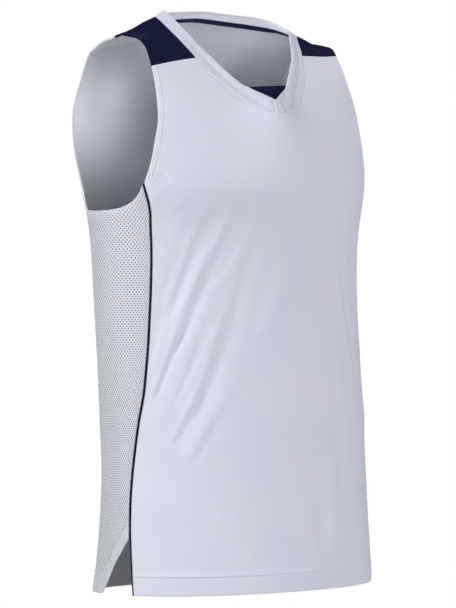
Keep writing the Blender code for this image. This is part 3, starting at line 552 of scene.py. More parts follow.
def sewn_sheet(name, outer, inner, marks, closed=False):
    """Grid of outer points closed by an inner side. marks are numbers that the material reads."""
    rows, columns = outer.shape[:2]
    bpy.ops.object.select_all(action="DESELECT")
    bpy.ops.mesh.primitive_grid_add(x_subdivisions=columns - 1, y_subdivisions=rows - 1)
    piece = bpy.context.object
    mesh = piece.data
    piece.name = mesh.name = name
    mesh.vertices.foreach_set("co", outer.reshape(-1))
    for label, values in marks.items():
        mark_points(mesh, label, values)
    flat = np.stack([run_lengths(outer, 1), run_lengths(outer, 0)], -1).reshape(-1, 2)
    corners = np.empty(len(mesh.loops), int)
    mesh.loops.foreach_get("vertex_index", corners)
    mesh.uv_layers[0].name = "cloth"
    mesh.uv_layers[0].data.foreach_set("uv", flat[corners].reshape(-1))
    mark_points(mesh, "reverse", inner, "FLOAT_VECTOR", "vector")
    if closed:
        bpy.ops.object.mode_set(mode="EDIT")
        bpy.ops.mesh.select_all(action="SELECT")
        bpy.ops.mesh.remove_doubles(threshold=MERGE_WITHIN)
        bpy.ops.object.mode_set(mode="OBJECT")
    thickness = piece.modifiers.new("wall", "SOLIDIFY")
    thickness.thickness = WALL
    thickness.offset = -1
    bpy.ops.object.modifier_apply(modifier=thickness.name)
    set_reverse(mesh)
    bpy.ops.object.shade_smooth_by_angle(angle=SMOOTH_ANGLE)
    print(name, len(mesh.polygons), "faces")
    return piece


def set_reverse(mesh):
    """Move the second half of the points, which Solidify added, to the inner side."""
    places, reverse = np.empty((2, len(mesh.vertices) * 3))
    mesh.vertices.foreach_get("co", places)
    mesh.attributes["reverse"].data.foreach_get("vector", reverse)
    inside = np.arange(len(mesh.vertices)) >= len(mesh.vertices) // 2
    mesh.vertices.foreach_set("co", np.where(np.repeat(inside, 3), reverse, places))
    mesh.attributes.remove(mesh.attributes["reverse"])
    mark_points(mesh, "reverse_side", inside.astype(float))
    mesh.update()


def sewn_panel(name, outer, normal, reliefs, marks, thinned=0):
    """Panel with the sum of its reliefs, each a pair of heights outside and inside. Where it is
    thinned, it lies flat and has a thin wall."""
    outside, inside = (sum(heights) for heights in zip(*reliefs))
    inner = outer - normal * (WALL + inside * (1 - thinned))[..., None]
    outside = outside * (1 - thinned) - (WALL - THIN_EDGE) * thinned
    return sewn_sheet(name, outer + normal * outside[..., None], inner, marks)


# %% [markdown]
# ## The front
#
# The front runs from the straight hem up to the two yoke seams and the neckline. Its rows and columns
# stand closer together at the hem and beside the armholes, so that the turned edges are real steps.

# %% Columns and rows of the front and the back
EDGE_COLUMNS = (0.0, 0.03, 0.08, 0.16, 0.3, 0.45, 0.6, 0.72, 0.82, 0.9, 1.0, 1.1, 1.25, 1.42, 1.6)
COLUMNS_IN_CELL = 5
YOKE_CELLS = 6
NECK_CELLS = {"front": 9, "back": 8}
EDGE_SHARE = 0.024
STRAP_EDGE = 0.14
THIN_REACH = 6 * MM
ROUNDING = 1e-9


def half_columns(face):
    """Places of the columns in one half, counted in wide cells from the armhole to the centre."""
    cells = YOKE_CELLS + NECK_CELLS[face]
    count = int((cells - EDGE_COLUMNS[-1]) * COLUMNS_IN_CELL) + 1
    return np.r_[EDGE_COLUMNS, np.linspace(EDGE_COLUMNS[-1], cells, count)[1:]]


def level_rows(left, right, face):
    """Level rows of cloth places from one side seam to the other."""
    cells = YOKE_CELLS + NECK_CELLS[face]
    coarse = np.r_[0, np.linspace(EDGE_SHARE, 1 - EDGE_SHARE, 2 * cells - 1), 1]
    half = np.interp(half_columns(face), np.arange(2 * cells + 1), coarse)
    return left[:, None] + joined(half, 1 - half)[None, :, None] * (right - left)[:, None]


def strap_steps(half):
    """Fractions across a shoulder, from the armhole to the neck."""
    places = half[half <= YOKE_CELLS + ROUNDING]
    return np.interp(places, np.arange(YOKE_CELLS + 1), np.r_[0, np.linspace(STRAP_EDGE, 1, YOKE_CELLS)])


def top_edge(face):
    """Upper edge of the front or back, from the wearer's right armhole to the left one."""
    half = half_columns(face)
    beyond = (half[half > YOKE_CELLS + ROUNDING] - YOKE_CELLS) / NECK_CELLS[face]
    back = face == "back"
    last = len(NECKLINE) - 1 if back else 0
    halves = []
    for side in SIDES:
        stop = neck_stops(side)[int(back)]
        halves.append(np.vstack([yoke_seam(side, strap_steps(half), back),
                                 neck_place(side, stop + beyond * (last - stop))]))
    return joined(*halves)


HEM_STEPS = np.array([0, 0.04, 0.1, 0.2, 0.4, 0.7, 1.0, 1.3, 1.6, 1.85, 2.0, 2.1, 2.18, 2.26, 2.34,
                      2.42, 2.5, 2.6, 2.75, 2.95, 3.2])
ROW_STEP = 0.33
HEM_HEIGHT = RINGS[0][0]


def lower_rings():
    """Ring numbers from the hem up to the armhole's corner."""
    top = float(ring_values(ARM_CORNER)["side"])
    heights = np.r_[HEM_HEIGHT + HEM_STEPS,
                    np.linspace(HEM_HEIGHT + HEM_STEPS[-1], top, int((top - HEM_HEIGHT) / ROW_STEP))[1:]]
    return place_of([row[:1] for row in RINGS], 0, heights)


print(len(top_edge("front")), "columns and", len(lower_rings()), "rows below the arms")

# %% Front panel
FRONT_ROWS = 71


def finish_panel(name, grid, seams, corner, lower_first, thin=False):
    """Points and relief of the front or back. corner is the row where the armholes begin. A thin
    panel has thin armhole edges."""
    outer, normal = cloth(grid)
    rows = np.arange(len(grid))
    sewn = (rows < corner) if lower_first else (rows > corner)
    pull = np.where(sewn, seams, 0.0)
    hem_edge, neck_edge = ("bottom", "top") if lower_first else ("top", "bottom")
    outer = pull_in(outer, left=pull, right=pull, **{neck_edge: NECK_GAP / 2})
    far = borders(outer)
    sewn = sewn[:, None]
    reliefs = [hem_relief(far[hem_edge], HEM), (hem_ripple(far["left"], far[hem_edge]), 0)]
    for edge in ("left", "right"):
        reliefs.append(np.where(sewn, seam_relief(far[edge]), hem_relief(far[edge], ARM_HEM)))
    reliefs.append(seam_relief(far[neck_edge], NECK_DIP))
    side_far = np.minimum(far["left"], far["right"])
    marks = {"hem_stitch": past_stitches(far[hem_edge], HEM),
             "arm_stitch": np.where(sewn, 1.0, past_stitches(side_far, ARM_HEM))}
    thinned = (1 - ease(side_far, 0, THIN_REACH)) * ~sewn * thin
    return sewn_panel(name, outer, normal, reliefs, marks, thinned)


def front_panel():
    rings = lower_rings()
    lower = level_rows(*(ring_place(FRONT_SEAM, side, rings) for side in SIDES), "front")
    armholes = [ring_place(ARMHOLE, side, np.linspace(ARM_CORNER, YOKE_SEAMS[side][0], FRONT_ROWS))
                for side in SIDES]
    upper = patch(lower[-1], top_edge("front"), *armholes)
    return finish_panel("front_cloth", np.vstack([lower, upper[1:]]), PIPING_HALF + SEAM_GAP,
                        len(rings), True)


front = front_panel()

# %% Back panel
BACK_ROWS = 91


def back_panel():
    rings = lower_rings()[::-1]
    ends = [ring_place(BACK_SEAM, side, rings)[:, 0] for side in SIDES]
    left, right = (np.stack([side * (180 - np.abs(turns)), 2 * RIDGE - rings], -1)
                   for side, turns in zip(SIDES, ends))
    lower = level_rows(left, right, "back")
    last = 2 * RIDGE - ARM_CORNER
    armholes = [ring_place(ARMHOLE, side, np.linspace(YOKE_SEAMS[side][2], last, BACK_ROWS))
                for side in SIDES]
    upper = patch(top_edge("back"), lower[0], *armholes)
    return finish_panel("back_cloth", np.vstack([upper, lower[1:]]), SEAM_GAP / 2, len(upper) - 2,
                        False, True)


back = back_panel()

# %% [markdown]
# ## The mesh side panels
#
# Each side has a panel of mesh between the piped front seam and the back seam. It starts at the
# turned edge under the arm and ends in the curve of the side slit. The left panel is laid out from
# front to back and the right one from back to front, so both face outwards.

# %% Side panels
# Rings of four marked rows in the hem, up the front seam and up the back seam.
SLIT_ROWS = (SLIT_TOP, 2.10, 2.24, 2.32)
HEM_ROWS = (0.0, 0.5, 0.92, 1.04)
# Every row in the hem, counted in marked rows, and how many rings the last rows lie below the arm.
SIDE_ROWS = (0, 0.03, 0.1, 0.25, 0.5, 0.8, 1.1, 1.4, 1.65, 1.8, 1.9, 2.0, 2.1, 2.2, 2.35, 2.6, 3.0)
UNDER_ARM_ROWS = np.array([0.17, 0.15, 0.13, 0.11, 0.09, 0.06, 0.03, 0.01, 0.0])
MIDDLE_ROWS = 150
# Shares of the way from the back seam to the front seam.
SIDE_STEPS = np.r_[0, 0.004, 0.012, 0.02, np.linspace(0.03, 0.97, 56), 0.98, 0.988, 0.996, 1]
UNDER_ARM_ZONE = 30 * MM
FORM_SAMPLES = 681


def side_rings(first_rows):
    """Ring numbers up one seam of a side panel, close together in the hem and under the arm."""
    hem = np.interp(SIDE_ROWS, np.arange(4), first_rows)
    top = ARM_CORNER - UNDER_ARM_ROWS
    return np.r_[hem, np.linspace(hem[-1], top[0], MIDDLE_ROWS)[1:], top[1:]]


def laid_out(side, items):
    """These items as they are on the wearer's right, and in reverse on the left."""
    return items[::-side]


def side_panel(side, name):
    seams = (ring_place(BACK_SEAM, side, side_rings(HEM_ROWS)),
             ring_place(FRONT_SEAM, side, side_rings(SLIT_ROWS)))
    slit = edge_place(SLIT, side, SIDE_STEPS * (len(SLIT) - 1))
    arm = edge_place(UNDER_ARM, side, (1 - SIDE_STEPS) * (len(UNDER_ARM) - 1))
    grid = patch(laid_out(side, slit), laid_out(side, arm), *laid_out(side, seams))
    pulls = laid_out(side, (SEAM_GAP / 2, PIPING_HALF + SEAM_GAP))
    outer, normal = cloth(grid)
    outer = pull_in(outer, left=pulls[0], right=pulls[1])
    far = borders(outer)
    reliefs = (hem_relief(far["bottom"], HEM), hem_relief(far["top"], ARM_HEM),
               seam_relief(far["left"]), seam_relief(far["right"]))
    along = run_lengths(outer, 1)
    middle = [np.interp(side * 90, turns, run) for turns, run in zip(grid[..., 0], along)]
    stitches = np.where(far["top"] < UNDER_ARM_ZONE, past_stitches(far["top"], ARM_HEM),
                        past_stitches(far["bottom"], HEM))
    marks = {"hem_stitch": stitches, "lattice_across": along - np.array(middle)[:, None],
             "lattice_up": body_height(grid[..., 1])}
    return sewn_panel(name, outer, normal, reliefs, marks)


def body_height(ring):
    """Length up the side of the smooth form, in metres, at these ring numbers."""
    rings = np.linspace(0, RIDGE, FORM_SAMPLES)
    line = body_point(np.full_like(rings, 90.0), rings)
    return np.interp(ring, rings, np.r_[0, np.cumsum(np.linalg.norm(np.diff(line, axis=0), axis=1))])


side_right = side_panel(-1, "side_mesh_right")
side_left = side_panel(1, "side_mesh_left")

# %% [markdown]
# ## Yokes
#
# The navy shoulder pieces lie over the ridge. They share their seams with the front and the back and
# carry the armhole's turned edge on.

# %% Yokes
YOKE_ROWS = 56


def yoke(side, name):
    arm_up, _, back_up = YOKE_SEAMS[side]
    front_stop, back_stop = neck_stops(side)
    rows = np.linspace(0, 1, YOKE_ROWS)
    edges = (ring_place(ARMHOLE, side, arm_up + rows * (back_up - arm_up)),
             neck_place(side, front_stop + rows * (back_stop - front_stop)))
    steps = strap_steps(half_columns("front"))
    seams = [laid_out(side, yoke_seam(side, steps, behind)) for behind in (False, True)]
    open_side, sewn_side = laid_out(side, ("left", "right"))
    outer, normal = cloth(patch(*seams, *laid_out(side, edges)))
    outer = pull_in(outer, **dict.fromkeys(("bottom", "top", sewn_side), SEAM_GAP / 2))
    far = borders(outer)
    reliefs = [hem_relief(far[open_side], ARM_HEM)]
    reliefs += [seam_relief(far[edge]) for edge in ("bottom", "top", sewn_side)]
    marks = {"arm_stitch": past_stitches(far[open_side], ARM_HEM)}
    return sewn_panel(name, outer, normal, reliefs, marks)


yoke_right = yoke(-1, "shoulder_cloth_right")
yoke_left = yoke(1, "shoulder_cloth_left")

# %% [markdown]
# ## Neck band, insert and tape
#
# The band is a folded strip of fine rib. It is one ring, mitred at the point of the neckline, so its
# grid is joined to itself before it gets its thickness. The insert lies behind its point.

# %% Neck band
BAND_STEPS = np.r_[0, 0.02, 0.05, 0.09, 0.13, np.linspace(0.18, 0.90, 13), 0.94, 0.97, 0.99, 1]
# Cells round half the neck: along the front, the yoke and the back.
NECK_FRONT, NECK_YOKE, NECK_BACK = 126, 49, 51
NECK_LAST = len(NECKLINE) - 1
BAND_PUFF = 0.3 * MM
BAND_SEAM = 3.0 * MM
BAND_RIM = 0.75 * MM
BAND_ROUND = 0.7 * MM
# Each crease: its side, a place along the neck and a share of the band's width where it starts, the
# same where it ends, its width and its height in millimetres.
BAND_CREASES = (
    (-1, 5.4, 0.5, 2, 0.56, 2.6, -2.2), (-1, 4.6, 0.92, 2.2, 0.93, 2.4, 1),
    (-1, 3.8, 0.16, 1.6, 0.2, 2, 1.6), (-1, 2.2, 0.6, 1.15, 0.46, 2.2, -2.6),
    (-1, 1.55, 0.52, 0.42, 0.02, 1.9, -3.6), (-1, 1.7, 0.92, 0.62, 0.62, 2.6, 2.6),
    (-1, 1.05, 0.1, 0.6, 0.02, 1.4, 1.4), (-1, 0.36, 0.72, 0.34, 0.05, 0.9, -1.6),
    (1, 0.66, 0.92, 0.56, 0.1, 1.5, -3.2), (1, 1.95, 0.68, 1.05, 0.46, 3.6, 3.4),
    (1, 0.04, 0.78, 0.05, 0.15, 0.8, -1), (1, 4.6, 0.3, 1.4, 0.2, 2.2, -3),
    (1, 7.5, 0.35, 4.6, 0.3, 2.6, -1.6), (1, 6.5, 0.75, 2.6, 0.8, 3, 1.2),
    (-1, 11.2, 0.45, 10.2, 0.6, 2, -0.25), (1, 11, 0.6, 10.1, 0.45, 2, -0.25),
    (1, 13.5, 0.5, 12.6, 0.55, 2.6, 0.15), (-1, 13.2, 0.6, 12.2, 0.45, 2.6, -0.15),
)
BAND_CREASE_LIMIT = 2.0 * MM


def neck_places(side):
    """Places along the neckline, closest together round its point."""
    front_stop, back_stop = neck_stops(side)
    return np.r_[np.linspace(0, front_stop, NECK_FRONT + 1),
                 np.linspace(front_stop, back_stop, NECK_YOKE + 1)[1:],
                 np.linspace(back_stop, NECK_LAST, NECK_BACK + 1)[1:]]


def band_creases(points):
    """Height of the creases round the point of the neckline and at the shoulders."""
    total = np.zeros(points.shape[:2])
    for side, *places, width, height in BAND_CREASES:
        start, end = (cloth(neck_place(side, place, share))[0]
                      for place, share in (places[:2], places[2:]))
        run = end - start
        along = np.clip(np.sum((points - start) * run, -1) / np.sum(run * run), 0, 1)
        away = np.linalg.norm(points - start - along[..., None] * run, axis=-1)
        total += height * MM * bell(away, width * MM)
    return np.tanh(total / BAND_CREASE_LIMIT) * BAND_CREASE_LIMIT


def collar_band():
    """The neck band, and the points just behind it."""
    fractions = BAND_STEPS[:, None]
    left, right = (neck_place(side, neck_places(side)[None], fractions) for side in (1, -1))
    outer, normal = cloth(joined(left.swapaxes(0, 1), right.swapaxes(0, 1)).swapaxes(0, 1))
    stand = joined(spline(NECKLINE, neck_places(1))[:, 7], spline(NECKLINE, neck_places(-1))[:, 6]) * CM
    wrapped = np.concatenate([outer[:, -2:-1], outer, outer[:, 1:2]], axis=1)
    outer = pull_in(wrapped, bottom=NECK_GAP / 2)[:, 1:-1]
    outer = outer + normal * (stand * fractions ** 2)[..., None]
    for ring in (outer, normal):
        ring[:, -1] = ring[:, 0]
    far = borders(outer)
    rim = BAND_RIM * bell(far["top"], BAND_ROUND)
    outside = BAND_PUFF * (1 - bell(far["bottom"], BAND_SEAM)) - rim + band_creases(outer)
    piece = sewn_sheet("neck_band", outer + normal * outside[..., None],
                       outer - normal * (BAND_WALL - rim)[..., None],
                       {"band_stitch": far["bottom"]}, closed=True)
    return piece, outer - normal * BAND_WALL - normal * SEAM_GAP


band, behind_band = collar_band()

# %% Insert behind the point
INSERT_ROW = 0.55
INSERT_STATIONS = {-1: (9.8, 65.8), 1: (7.7, 61.6)}
INSERT_ROWS, INSERT_COLUMNS = 40, 36


def between(points, place):
    """Points at fractional places along the first axis of an array."""
    place = np.asarray(place, float)
    low = np.minimum(np.floor(place).astype(int), len(points) - 2)
    step = (place - low).reshape(place.shape + (1,) * (points.ndim - 1))
    return (1 - step) * points[low] + step * points[low + 1]


def neck_insert():
    line = between(behind_band, np.interp(INSERT_ROW, BAND_STEPS, np.arange(len(BAND_STEPS))))
    right, left = (between(line[::side], np.linspace(*INSERT_STATIONS[side], INSERT_ROWS))[:, None]
                   for side in SIDES)
    steps = np.linspace(0, 1, INSERT_COLUMNS)[None, :, None]
    outer = (1 - steps) * right + steps * left
    inner = outer + np.array([0.0, THIN_WALL, 0.0])
    return sewn_sheet("neck_point_insert", outer, inner, {"arm_stitch": borders(outer)["top"] + 1})


insert = neck_insert()

# %% Tape inside the back of the neck
TAPE_WIDTH = 11.5 * MM
TAPE_ABOVE = 2.5 * MM
TAPE_CROWN = 0.25 * MM
TAPE_BEHIND = BAND_WALL + SEAM_GAP
TAPE_STATIONS = 60
TAPE_STEPS = np.array([0.0, 0.04, 0.12, 0.3, 0.5, 0.7, 0.88, 0.96, 1.0])[:, None, None]
# How far the tape runs past the back seam, and its share of width there.
TAPE_BEYOND = {-1: 1.5, 1: 1.2}
TAPE_END_WIDTH = {-1: 1.1, 1: 1.5}


def neck_tape():
    places = {side: np.linspace(neck_stops(side)[1] - TAPE_BEYOND[side], NECK_LAST, TAPE_STATIONS)
              for side in SIDES}
    (edge, normal), (rim, _) = (
        cloth(joined(*(neck_place(side, places[side], fraction) for side in SIDES)))
        for fraction in (0.0, 1.0))
    drop = square_to(edge, edge - rim)
    widths = joined(*(np.linspace(TAPE_END_WIDTH[side], 1, TAPE_STATIONS) for side in SIDES))
    flat = edge[None] + drop[None] * (TAPE_STEPS * (widths[None, :, None] * TAPE_WIDTH) - TAPE_ABOVE)
    crown = TAPE_CROWN * np.sin(np.pi * TAPE_STEPS) ** 0.5
    outer = flat - normal[None] * (TAPE_BEHIND + THIN_WALL + crown)
    inner = flat - normal[None] * TAPE_BEHIND
    return sewn_sheet("inner_neck_tape", outer[:, ::-1], inner[:, ::-1],
                      {"band_stitch": borders(outer)["bottom"]})


tape = neck_tape()

# %% [markdown]
# ## Piping
#
# A thin navy piping lies in each front side seam and goes on as a narrow edge down the slit. It is a
# strip folded round a cord, so it stands up as a small half round from the seam.

# %% Piping
PIPING_EDGE_HALF = 0.7 * MM
PIPING_CROWN = 0.9 * MM
PIPING_POINTS = 13
PIPING_NARROWS = (SLIT_TOP - 0.12, SLIT_TOP + 0.04)
# Share of the wall under the piping at its edges.
PIPING_WALL = 0.6


def piping(side, name):
    rings = lower_rings()
    grid = ring_place(FRONT_SEAM, side, rings)
    centre, normal = cloth(grid)
    inwards, _ = cloth(grid - [side, 0])
    towards_front = square_to(centre, inwards - centre)
    narrow = 1 - ease(rings, *PIPING_NARROWS)
    half = (PIPING_HALF + (PIPING_EDGE_HALF - PIPING_HALF) * narrow)[:, None]
    middle = centre + towards_front * (PIPING_HALF - half)
    angles = (np.linspace(-math.pi / 2, math.pi / 2, PIPING_POINTS) * side)[None, :, None]
    flat = middle[:, None] - (towards_front * half)[:, None] * np.sin(angles)
    outer = flat + normal[:, None] * (PIPING_CROWN * np.cos(angles))
    inner = flat - normal[:, None] * (WALL * (PIPING_WALL + (1 - PIPING_WALL) * np.cos(angles)))
    return sewn_sheet(name, outer, inner, {"band_stitch": borders(outer)["left"]})


piping_right = piping(-1, "seam_piping_right")
piping_left = piping(1, "seam_piping_left")

# %% [markdown]
# ## Materials
#
# All the cloth is polyester knit, so one small toolkit serves every finish. An output of a node can be
# added and multiplied like a plain number, and each such sum adds its Math node.

# %% A toolkit for shader sums
CLOUD_RANGE = (0.35, 0.65)
# Where the painted shade of the inner side sets in, along the mark of the inner side.
INSIDE_SHADE_RANGE = (0.55, 0.95)
SHEEN_ROUGHNESS = 0.45


class Output:
    """One output of a shader node. Its sums and products add Math nodes."""

    def __init__(self, nodes, socket):
        self.nodes = nodes
        self.socket = socket

    def math(self, operation, *values):
        return self.nodes.node("ShaderNodeMath", {"operation": operation}, dict(enumerate(values)))

    def __abs__(self):
        return self.math("ABSOLUTE", self)

    def sine(self):
        return self.math("SINE", self)


def overload(sign, operation):
    """Lets an output stand on either side of a Python sign."""
    setattr(Output, f"__{sign}__", lambda self, other: self.math(operation, self, other))
    setattr(Output, f"__r{sign}__", lambda self, other: self.math(operation, other, self))


for sign, operation in (("add", "ADD"), ("sub", "SUBTRACT"), ("mul", "MULTIPLY"),
                        ("truediv", "DIVIDE"), ("mod", "FLOORED_MODULO")):
    overload(sign, operation)


class Nodes:
    """The nodes of a material or of the surround. node() adds any node and returns an output of it."""

    def __init__(self, tree):
        self.tree = tree

    def node(self, kind, settings=None, values=None, output=0):
        made = self.tree.nodes.new(kind)
        for label, setting in (settings or {}).items():
            setattr(made, label, setting)
        for place, value in (values or {}).items():
            self.feed(made.inputs[place], value)
        return Output(self, made.outputs[output])

    def feed(self, socket, value):
        """Link an output to a socket or set a value on it. A colour is a red, a green and a blue."""
        if isinstance(value, Output):
            self.tree.links.new(value.socket, socket)
        else:
            socket.default_value = (*value, 1) if socket.type == "RGBA" else value


class Finish(Nodes):
    """The material of a cloth or of the floor."""

    def __init__(self, name, roughness, sheen, gloss=0.3):
        self.material = bpy.data.materials.new(name)
        self.material.use_nodes = True
        super().__init__(self.material.node_tree)
        self.use(Roughness=roughness, Sheen_Weight=sheen, Sheen_Roughness=SHEEN_ROUGHNESS,
                 Specular_IOR_Level=gloss)

    def use(self, **sockets):
        shader = self.tree.nodes["Principled BSDF"]
        for label, value in sockets.items():
            self.feed(shader.inputs[label.replace("_", " ")], value)

    def mark(self, label):
        """A number that the mesh carries at each of its points."""
        return self.node("ShaderNodeAttribute", {"attribute_name": label}, output="Fac")

    def flat(self):
        """The place on the flat cloth, in metres, along and up."""
        uv = self.node("ShaderNodeUVMap", {"uv_map": "cloth"})
        return tuple(self.node("ShaderNodeSeparateXYZ", None, {0: uv}, axis) for axis in ("X", "Y"))

    def noise(self, scale, detail=3.0):
        values = {"Vector": self.node("ShaderNodeTexCoord", None, None, "Object"),
                  "Scale": scale, "Detail": detail}
        return self.node("ShaderNodeTexNoise", None, values, "Fac")

    def mix(self, share, first, second):
        """Blend of two colours."""
        return self.node("ShaderNodeMix", {"data_type": "RGBA"}, {0: share, 6: first, 7: second}, 2)

    def soft(self, value, start, stop):
        """0 before start and 1 after stop, with a soft step."""
        return self.node("ShaderNodeMapRange", {"interpolation_type": "SMOOTHSTEP"},
                         {"Value": value, "From Min": start, "From Max": stop})

    def clouds(self, scale=9.0):
        """Slow and slight changes over the cloth, from 0 to 1."""
        return self.soft(self.noise(scale), *CLOUD_RANGE)

    def turned(self, outside, inside):
        """One colour outside, and a darker one on the inner side of the cloth, which is painted shade
        inside the jersey.
        """
        return self.mix(self.soft(self.mark("reverse_side"), *INSIDE_SHADE_RANGE), outside, inside)

    def bump(self, height):
        return self.node("ShaderNodeBump", None, {"Strength": 1.0, "Distance": 1.0, "Height": height})


print("shader toolkit ready")

# %% [markdown]
# ### Knit and stitches
#
# A smooth knit shows fine upright wales, under a millimetre apart. A lockstitch is a row of short
# threads 2.6 mm apart, each a small ridge between two needle holes.

# %% Knit relief and thread
TURN = 2 * math.pi
WALE = 0.9 * MM
COURSE = 0.75 * MM
STITCH = 2.6 * MM
# Where a thread ends to the sides, and along it in shares of a stitch from its middle.
THREAD_HALF = 0.28 * MM
THREAD_EDGE = (THREAD_HALF * 0.6, THREAD_HALF * 1.4)
THREAD_ENDS = (0.34, 0.42)
THREAD_DEPTH = 0.18 * MM
KNIT_DEPTH = 0.02 * MM
WALE_SHARE, COURSE_SHARE = 0.3, 0.2
FIBRE_DEPTH = 0.02 * MM
FIBRE_SCALE = 900.0
# The inner side of the white knit is painted darker, a share of its outside colour, as painted shade
# inside the jersey.
INSIDE_PAINTED_SHADE = 0.43
ROUGHNESS_SPREAD = 0.1


def knit_height(finish):
    """Fine upright wales crossed by weaker courses, from 0 to 1."""
    along, up = finish.flat()
    wales = (along * (TURN / WALE)).sine()
    courses = (up * (TURN / COURSE)).sine()
    return 0.5 + WALE_SHARE * wales + COURSE_SHARE * courses * wales


def fibre_height(finish):
    return finish.noise(FIBRE_SCALE, 2.0) * FIBRE_DEPTH


def thread_mask(finish, mark, along):
    """1 on the threads of a stitch line, 0 elsewhere."""
    line = 1 - finish.soft(abs(finish.mark(mark)), *THREAD_EDGE)
    place = abs((along / STITCH) % 1.0 - 0.5)
    return line * (1 - finish.soft(place, *THREAD_ENDS))


def dress_knit(name, look, first, second, threads, thread_colour):
    """Plain knit with slight clouds of colour and the stitches of its hems. look is its roughness,
    sheen and gloss."""
    finish = Finish(name, *look)
    clouds = finish.clouds()
    # Painted shade: the inner side is darker than the outside.
    colour = finish.turned(finish.mix(clouds, first, second), [INSIDE_PAINTED_SHADE * c for c in first])
    along, up = finish.flat()
    height = knit_height(finish) * KNIT_DEPTH
    for mark in threads:
        mask = thread_mask(finish, mark, along if mark == "hem_stitch" else up)
        colour = finish.mix(mask, colour, thread_colour)
        height = height + mask * THREAD_DEPTH
    finish.use(Base_Color=colour, Roughness=look[0] - ROUGHNESS_SPREAD / 2 + ROUGHNESS_SPREAD * clouds,
               Normal=finish.bump(height + fibre_height(finish)))
    return finish


WHITE_LOOK = (0.60, 0.25, 0.3)
NAVY_LOOK = (0.66, 0.0, 0.08)
WHITE_THREAD = (0.78, 0.79, 0.84)
NAVY_THREAD = (0.012, 0.018, 0.055)
white_knit = dress_knit("white_knit_cloth", WHITE_LOOK, (0.655, 0.680, 0.765), (0.680, 0.685, 0.775),
                        ("hem_stitch", "arm_stitch"), WHITE_THREAD)
navy_knit = dress_knit("navy_knit_cloth", NAVY_LOOK, (0.0042, 0.0068, 0.030), (0.0055, 0.0082, 0.034),
                       ("arm_stitch",), NAVY_THREAD)
navy_trim = dress_knit("navy_trim_cloth", NAVY_LOOK, (0.0036, 0.0060, 0.028), (0.0048, 0.0074, 0.032),
                       (), NAVY_THREAD)
print("white and navy knit ready")

# %% [markdown]
# ### Mesh and rib
#
# The side panels are knitted with small round holes in staggered rows, 5.7 mm apart. The holes are
# cut through by Alpha on a lattice that is measured along the cloth, and half closed where the hem
# doubles it. The rib of the neck band has fine ridges across the band.

# %% Mesh material
HOLE_PITCH = 5.7 * MM
HOLE_RADIUS = 0.92 * MM
# The soft edge of a hole and of the raised rim round it, which is also painted darker as shade, in shares
# of its radius.
HOLE_EDGE = (HOLE_RADIUS * 0.85, HOLE_RADIUS * 1.1)
RIM_EDGE = (HOLE_RADIUS, HOLE_RADIUS * 2.2)
DOUBLED_EDGE = (-0.3 * MM, 0.3 * MM)
CLOSED_SHARE = 0.55
MESH_KNIT_DEPTH = 0.03 * MM
HOLE_DEPTH = 0.25 * MM
RIB = 1.3 * MM
RIB_DEPTH = 0.06 * MM
RIB_CLOUD_SCALE = 14.0
MESH_LOOK = (0.68, 0.2)
RIB_LOOK = (0.64, 0.25)
# The two ends of each cloth's clouds, its painted shade beside the holes or between the ribs, and the
# mesh's painted shade on its inner side.
MESH_WHITES = ((0.68, 0.705, 0.75), (0.71, 0.715, 0.77))
HOLE_PAINTED_SHADE = (0.58, 0.60, 0.66)
MESH_INSIDE_PAINTED_SHADE = (0.27, 0.28, 0.30)
MESH_THREAD = (0.76, 0.77, 0.82)
RIB_WHITES = ((0.65, 0.67, 0.755), (0.675, 0.68, 0.765))
RIB_GROOVE_PAINTED_SHADE = (0.62, 0.64, 0.725)


def hole_distance(across, up, shift):
    """Distance from the nearest hole of one of the two square lattices."""
    x, y = (((place / HOLE_PITCH + shift) % 1.0 - 0.5) * HOLE_PITCH for place in (across, up))
    return across.math("SQRT", x * x + y * y)


def dress_mesh():
    finish = Finish("white_mesh_cloth", *MESH_LOOK)
    lattice = finish.mark("lattice_across"), finish.mark("lattice_up")
    first, second = (hole_distance(*lattice, shift) for shift in (0.0, 0.5))
    distance = first.math("MINIMUM", first, second)
    solid = finish.soft(distance, *HOLE_EDGE)
    doubled = 1 - finish.soft(finish.mark("hem_stitch"), *DOUBLED_EDGE)
    solid = solid + (1 - solid) * doubled * CLOSED_SHARE
    rim = finish.soft(distance, *RIM_EDGE)
    colour = finish.mix(finish.clouds(), *MESH_WHITES)
    # Painted shade: darker beside each hole, and much darker on the inner side.
    colour = finish.turned(finish.mix(rim, HOLE_PAINTED_SHADE, colour), MESH_INSIDE_PAINTED_SHADE)
    thread = thread_mask(finish, "hem_stitch", finish.flat()[0])
    colour = finish.mix(thread, colour, MESH_THREAD)
    height = knit_height(finish) * MESH_KNIT_DEPTH + rim * HOLE_DEPTH + thread * THREAD_DEPTH
    finish.use(Base_Color=colour, Alpha=solid, Normal=finish.bump(height))
    return finish


def dress_rib():
    finish = Finish("white_rib_cloth", *RIB_LOOK)
    ribs = 0.5 + 0.5 * (finish.flat()[0] * (TURN / RIB)).sine()
    colour = finish.mix(finish.clouds(RIB_CLOUD_SCALE), *RIB_WHITES)
    # Painted shade: darker in the grooves between the ribs.
    finish.use(Base_Color=finish.mix(ribs, RIB_GROOVE_PAINTED_SHADE, colour),
               Normal=finish.bump(ribs * RIB_DEPTH + fibre_height(finish)))
    return finish


white_mesh = dress_mesh()
white_rib = dress_rib()
print("mesh and rib ready")

# %% [markdown]
# ## Put the pieces in their places
#
# Every piece rides on the one body of the cloth and stands for its CAD node, which is hidden.

